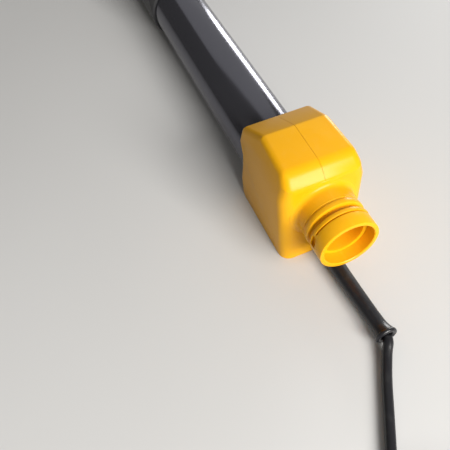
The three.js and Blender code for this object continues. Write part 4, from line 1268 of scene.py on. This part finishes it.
# %% Shroud with ribs and port
SHROUD_R, PORT_Z, PORT_R, PORT_BORE = 117, 45.5, 14, 11.5
PORT_REAR, PORT_FRONT = HEAD_Y - 74, HEAD_Y - 45
shroud = turned("shroud_dome", [(27, 14), (26.2, 60), (17, SHROUD_R - 3.4), (8.5, SHROUD_R - 3.4), (8.5,
    SHROUD_R), (18.6, SHROUD_R), (20.2, SHROUD_R - 0.6), (21, SHROUD_R - 2.4), (29.4, 60), (30, 14)],
    HEAD_FOOT, Z, X, 160)
rib = block("ribs", (46, SHROUD_R - 11), (HEAD_Y - 1.1, HEAD_Y + 1.1), (22, 32))
shave(rib, (60, HEAD_Y, 31.6), (0.165, 0, 1))
swing(rib, TURN / 24, HEAD_FOOT)
carve(shroud, round_copies(rib, 12, HEAD_FOOT), "UNION")
port = rod("port", PORT_R, (0, PORT_REAR, PORT_Z), (0, PORT_FRONT, PORT_Z), 72)
neck = block("neck", (-13.6, 13.6), (PORT_REAR + 4, PORT_FRONT), (25, 45))
round_edges(neck, lambda x, y, z: near(z, 35, 2), 3.5, 5)
carve(shroud, neck, "UNION")
carve(shroud, port, "UNION")
carve(shroud, rod("port_bore", PORT_BORE, (0, PORT_REAR - 2, PORT_Z), (0, PORT_FRONT - 4, PORT_Z), 72))
DROP_Y = (PORT_REAR + PORT_FRONT) / 2 + 1
carve(shroud, rod("drop_bore", 9.6, (0, DROP_Y, 10), (0, DROP_Y, PORT_Z), 64))
GUIDE_R, GUIDE_ANGLES = 108, [math.radians(a) for a in (90, 210, 330)]
GUIDES = [(GUIDE_R * math.cos(a), HEAD_Y + GUIDE_R * math.sin(a)) for a in GUIDE_ANGLES]
for x, y in GUIDES:
    carve(shroud, rod("guide_hole", 2.1, (x, y, 10), (x, y, 30), 24))
place(soften(shroud, 0.35, 2, 40), "head", "black_shell", "dust_shroud")
print("shroud:", len(shroud.data.polygons), "faces")

# %% [markdown]
# ## Skirt and bristles
# The skirt ring floats on three screws with springs, so the bristles follow the wall. The bristles are tufts: one
# group is made of thin rods and copied round the ring.

# %% Skirt ring, tufts and guide screws
SKIRT_R = 120.4
skirt = turned("skirt_ring_moulding", [(5, SHROUD_R + 0.5), (5, SKIRT_R - 0.4), (5.5, SKIRT_R), (12, SKIRT_R),
    (12.6, SKIRT_R - 0.6), (13.4, SKIRT_R - 0.6), (14, SKIRT_R), (25.2, SKIRT_R), (25.8, SKIRT_R - 0.6),
    (25.8, SHROUD_R + 0.5)], HEAD_FOOT, Z, X, 160)
tab = block("tabs", (102, 118.2), (HEAD_Y - 6, HEAD_Y + 6), (23.2, 25.8))
carve(tab, rod("tab_hole", 2.7, (GUIDE_R, HEAD_Y, 20), (GUIDE_R, HEAD_Y, 30), 24))
round_edges(tab, lambda x, y, z: near(x, 102) and near(z, 24.5), 3, 5)
swing(tab, math.radians(30), HEAD_FOOT)
round_copies(tab, 3, HEAD_FOOT)
print("tabs:", len(tab.data.polygons), "faces")
carve(skirt, tab, "UNION")
place(soften(skirt, 0.25, 2, 45), "skirt", "black_shell", "skirt_ring")

TUFT_ROWS = [(115.2, 0), (117.1, 0.5), (118.9, 0.25)]     # radius, and how far each row is shifted
TUFT_GROUPS, TUFTS_IN_GROUP = 160, 3
tufts = []
for radius, turn in TUFT_ROWS:
    for i in range(TUFTS_IN_GROUP):
        angle = (turn + i) * TURN / (TUFT_GROUPS * TUFTS_IN_GROUP)
        root = (radius * math.cos(angle), HEAD_Y + radius * math.sin(angle))
        tufts.append(rod("tuft", 0.62, (root[0], root[1], 0), (root[0], root[1], 5.4), 6, 0.45))
bristles = round_copies(joined("bristle_tufts", tufts), TUFT_GROUPS, HEAD_FOOT)
place(soften(bristles, smooth=60), "skirt", "bristle", "brush_strip")
for number, (x, y) in enumerate(GUIDES, 1):
    guide = screw(f"guide_screw_{number}_turned", (x, y, 35), Z, 5, 3, 1.4)
    shank = rod("shank", 1.8, (x, y, 17.5), (x, y, 35.2), 24)
    place(carve(guide, shank, "UNION"), "head", "steel_parts", f"guide_screw_{number}")
print("bristles:", len(bristles.data.polygons), "faces")

# %% [markdown]
# ## Springs
# A coil spring is a wire on a helix. Its ends lie flat, so the helix slows down there. A spring can't follow two
# bodies at once, so each one flattens towards its seat as its joint moves.

# %% Trigger spring and skirt springs
FLAT_END = 0.6                                 # how much of a coil lies flat at each end


def coil_spring(name, x, y, low, high, radius, wire, coils, around=16):
    steps = coils * around
    route = []
    for i in range(steps + 1):
        t = i / steps
        rise = min(max((t * coils - FLAT_END) / (coils - 2 * FLAT_END), 0), 1)
        angle = TURN * i / around
        route.append((x + (radius - wire) * math.cos(angle), y + (radius - wire) * math.sin(angle), low + wire
            + (high - low - 2 * wire) * rise))
    return swept(name, route, wire, 2, 2)


SPRING_Y, SPRING_FOOT, SPRING_TOP = 391, 59.3, 74.7
spring = coil_spring("trigger_spring_wound", 0, SPRING_Y, SPRING_FOOT, SPRING_TOP, 4, 0.5, 6)
place(spring, "pole", "steel_parts", "trigger_spring")
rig.squash(spring, "trigger_press", axis=Z, anchor=at(0, SPRING_Y, SPRING_FOOT), keep=0.56)
for number, (x, y) in enumerate(GUIDES, 1):
    spring = coil_spring(f"skirt_spring_{number}_wound", x, y, 26.1, 34.7, 3.8, 0.45, 5)
    place(spring, "head", "steel_parts", f"skirt_spring_{number}")
    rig.squash(spring, "skirt_float", axis=Z, anchor=at(x, y, 34.9), keep=0.62)
print("springs:", 1 + len(GUIDES))

# %% [markdown]
# ## Pad and disc
# Under the dome the spindle carries a backing plate, a foam pad and the abrasive disc. The dust holes line up
# through all three.

# %% Pad and abrasive disc
PAD_R, DISC_R, HOLE_R, HOLE_PLACE = 112, 112.5, 5, 80


def holed_disc(name, outline, hole_radius):
    piece = turned(name, outline, HEAD_FOOT, Z, X, 160)
    angle = TURN / 16
    x, y = HOLE_PLACE * math.cos(angle), HEAD_Y + HOLE_PLACE * math.sin(angle)
    return carve(piece, round_copies(rod("holes", hole_radius, (x, y, -2), (x, y, 20), 40), 8, HEAD_FOOT))


pad = holed_disc("foam_pad_disc", [(1.5, 0), (1.5, PAD_R - 0.4), (1.9, PAD_R), (4.3, PAD_R), (4.5, PAD_R -
    0.3), (4.7, PAD_R), (7.1, PAD_R), (7.5, PAD_R - 0.4), (7.5, 0)], HOLE_R)
place(soften(pad, 0.3, 2, 50), "spindle", "pad_foam", "foam_pad")
disc = holed_disc("abrasive_sheet", [(0, 0), (0, DISC_R - 0.1), (0.25, DISC_R), (1.2, DISC_R), (1.2, 0)],
    HOLE_R + 0.3)
place(soften(disc, smooth=40), "spindle", "abrasive_disc", "sanding_disc")
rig.padded(pad, fill=1)
print("pad and disc:", len(pad.data.polygons), len(disc.data.polygons), "faces")

# %% [markdown]
# ## Dust hose
# A ribbed hose joins the pole to the head and bends with both pivots. Its rings follow a curved line, which no
# turning can give, so its mesh is written ring by ring. It is cut in two at the gimbal, because each half bends
# across one pivot only. The blend has a limit: at full head pitch the rear half flattens to a ribbon.

# %% Hose halves
HOSE_ROUTE = [(0, 862, 28.3), (0, 876, 28.6), (0, 890, 34), (0, 905, 43), (0, 920, 46.4), (0, 940, 45.5), (0,
    PORT_REAR + 0.2, PORT_Z)]
HOSE_R, HOSE_BORE, HOSE_RIB = 14, 11.6, 4.2


def smooth_line(route, pieces=24):
    """Points along a Catmull-Rom line through the route's places, in metres."""
    knots = [at(*p) for p in route]
    knots = [2 * knots[0] - knots[1]] + knots + [2 * knots[-1] - knots[-2]]
    points = []
    for a, b, c, d in zip(knots, knots[1:], knots[2:], knots[3:]):
        for i in range(pieces):
            t = i / pieces
            points.append(0.5 * (2 * b + (c - a) * t + (2 * a - 5 * b + 4 * c - d) * t ** 2 + (3 * b - a - 3 *
                c + d) * t ** 3))
    return points + [knots[-2]]


def ribbed_hose(name, points, travelled):
    shape = bmesh.new()
    rings = {}
    sides = 40
    for wall in ("outer", "inner"):
        rings[wall] = []
        for i, point in enumerate(points):
            ahead = (points[min(i + 1, len(points) - 1)] - points[max(i - 1, 0)]).normalized()
            up = X.cross(ahead)
            wave = (1 + math.cos(TURN * travelled[i] / (HOSE_RIB * MM))) / 2
            radius = HOSE_R - 1.3 * (1 - wave ** 0.7) if wall == "outer" else HOSE_BORE
            rings[wall].append([shape.verts.new(point + (X * math.cos(k * TURN / sides) + up * math.sin(k *
                TURN / sides)) * radius * MM) for k in range(sides)])
    for wall, stack in rings.items():
        for a, b in zip(stack, stack[1:]):
            for k in range(sides):
                shape.faces.new((a[k], a[(k + 1) % sides], b[(k + 1) % sides], b[k]))
    for end in (0, -1):
        a, b = rings["outer"][end], rings["inner"][end]
        for k in range(sides):
            shape.faces.new((a[k], a[(k + 1) % sides], b[(k + 1) % sides], b[k]))
    bmesh.ops.recalc_face_normals(shape, faces=shape.faces)
    data = bpy.data.meshes.new(name)
    shape.to_mesh(data)
    shape.free()
    hose = bpy.data.objects.new(name, data)
    bpy.context.scene.collection.objects.link(hose)
    return soften(hose, smooth=50)


hose_line = smooth_line(HOSE_ROUTE)
travelled = [0]
for a, b in zip(hose_line, hose_line[1:]):
    travelled.append(travelled[-1] + (b - a).length)
middle = min(range(len(hose_line)), key=lambda i: abs(hose_line[i].y - at(0, 915, 0).y))
for name, part, bodies in (("dust_hose_rear", slice(0, middle + 1), ("pole", "gimbal")),
                           ("dust_hose_front", slice(middle, None), ("gimbal", "head"))):
    hose = ribbed_hose(name, hose_line[part], travelled[part])
    hose.data.materials.append(FINISHES["rubber_black"])
    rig.slot(hose, "rubber_black")
    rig.blend(hose, *bodies, start=hose_line[part][0], end=hose_line[part][-1])
    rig.replaces(hose, "dust_hose")
cuff = turned("hose_cuff_moulding", [(858.4, 14.4), (858.4, 24.8), (871, 24.8), (871.8, 24.2), (872.4, 20),
    (874.5, 16.6), (874.5, 14.4)], POLE_MIDDLE, Y, X, 72)
place(soften(cuff, 0.3, 2, 45), "pole", "rubber_black", "hose_cuff")
print("hose:", round(travelled[-1], 3), "m")

# %% Finishes on the frame's own nodes
for name, node in frame["nodes"].items():
    old = node.material_slots[0].material.name.split(".")[0] if node.material_slots else ""
    if old in FINISHES:
        for slot in node.material_slots:
            slot.material = FINISHES[old]
    else:
        print("no finish for", name, old)

# %% Size and finish
VISUAL_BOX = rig.bounds()
with open("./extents.json", "w") as report:
    json.dump({"cad": [list(map(float, c)) for c in CAD_BOX], "visual": [list(map(float, c)) for c in
        VISUAL_BOX]}, report)
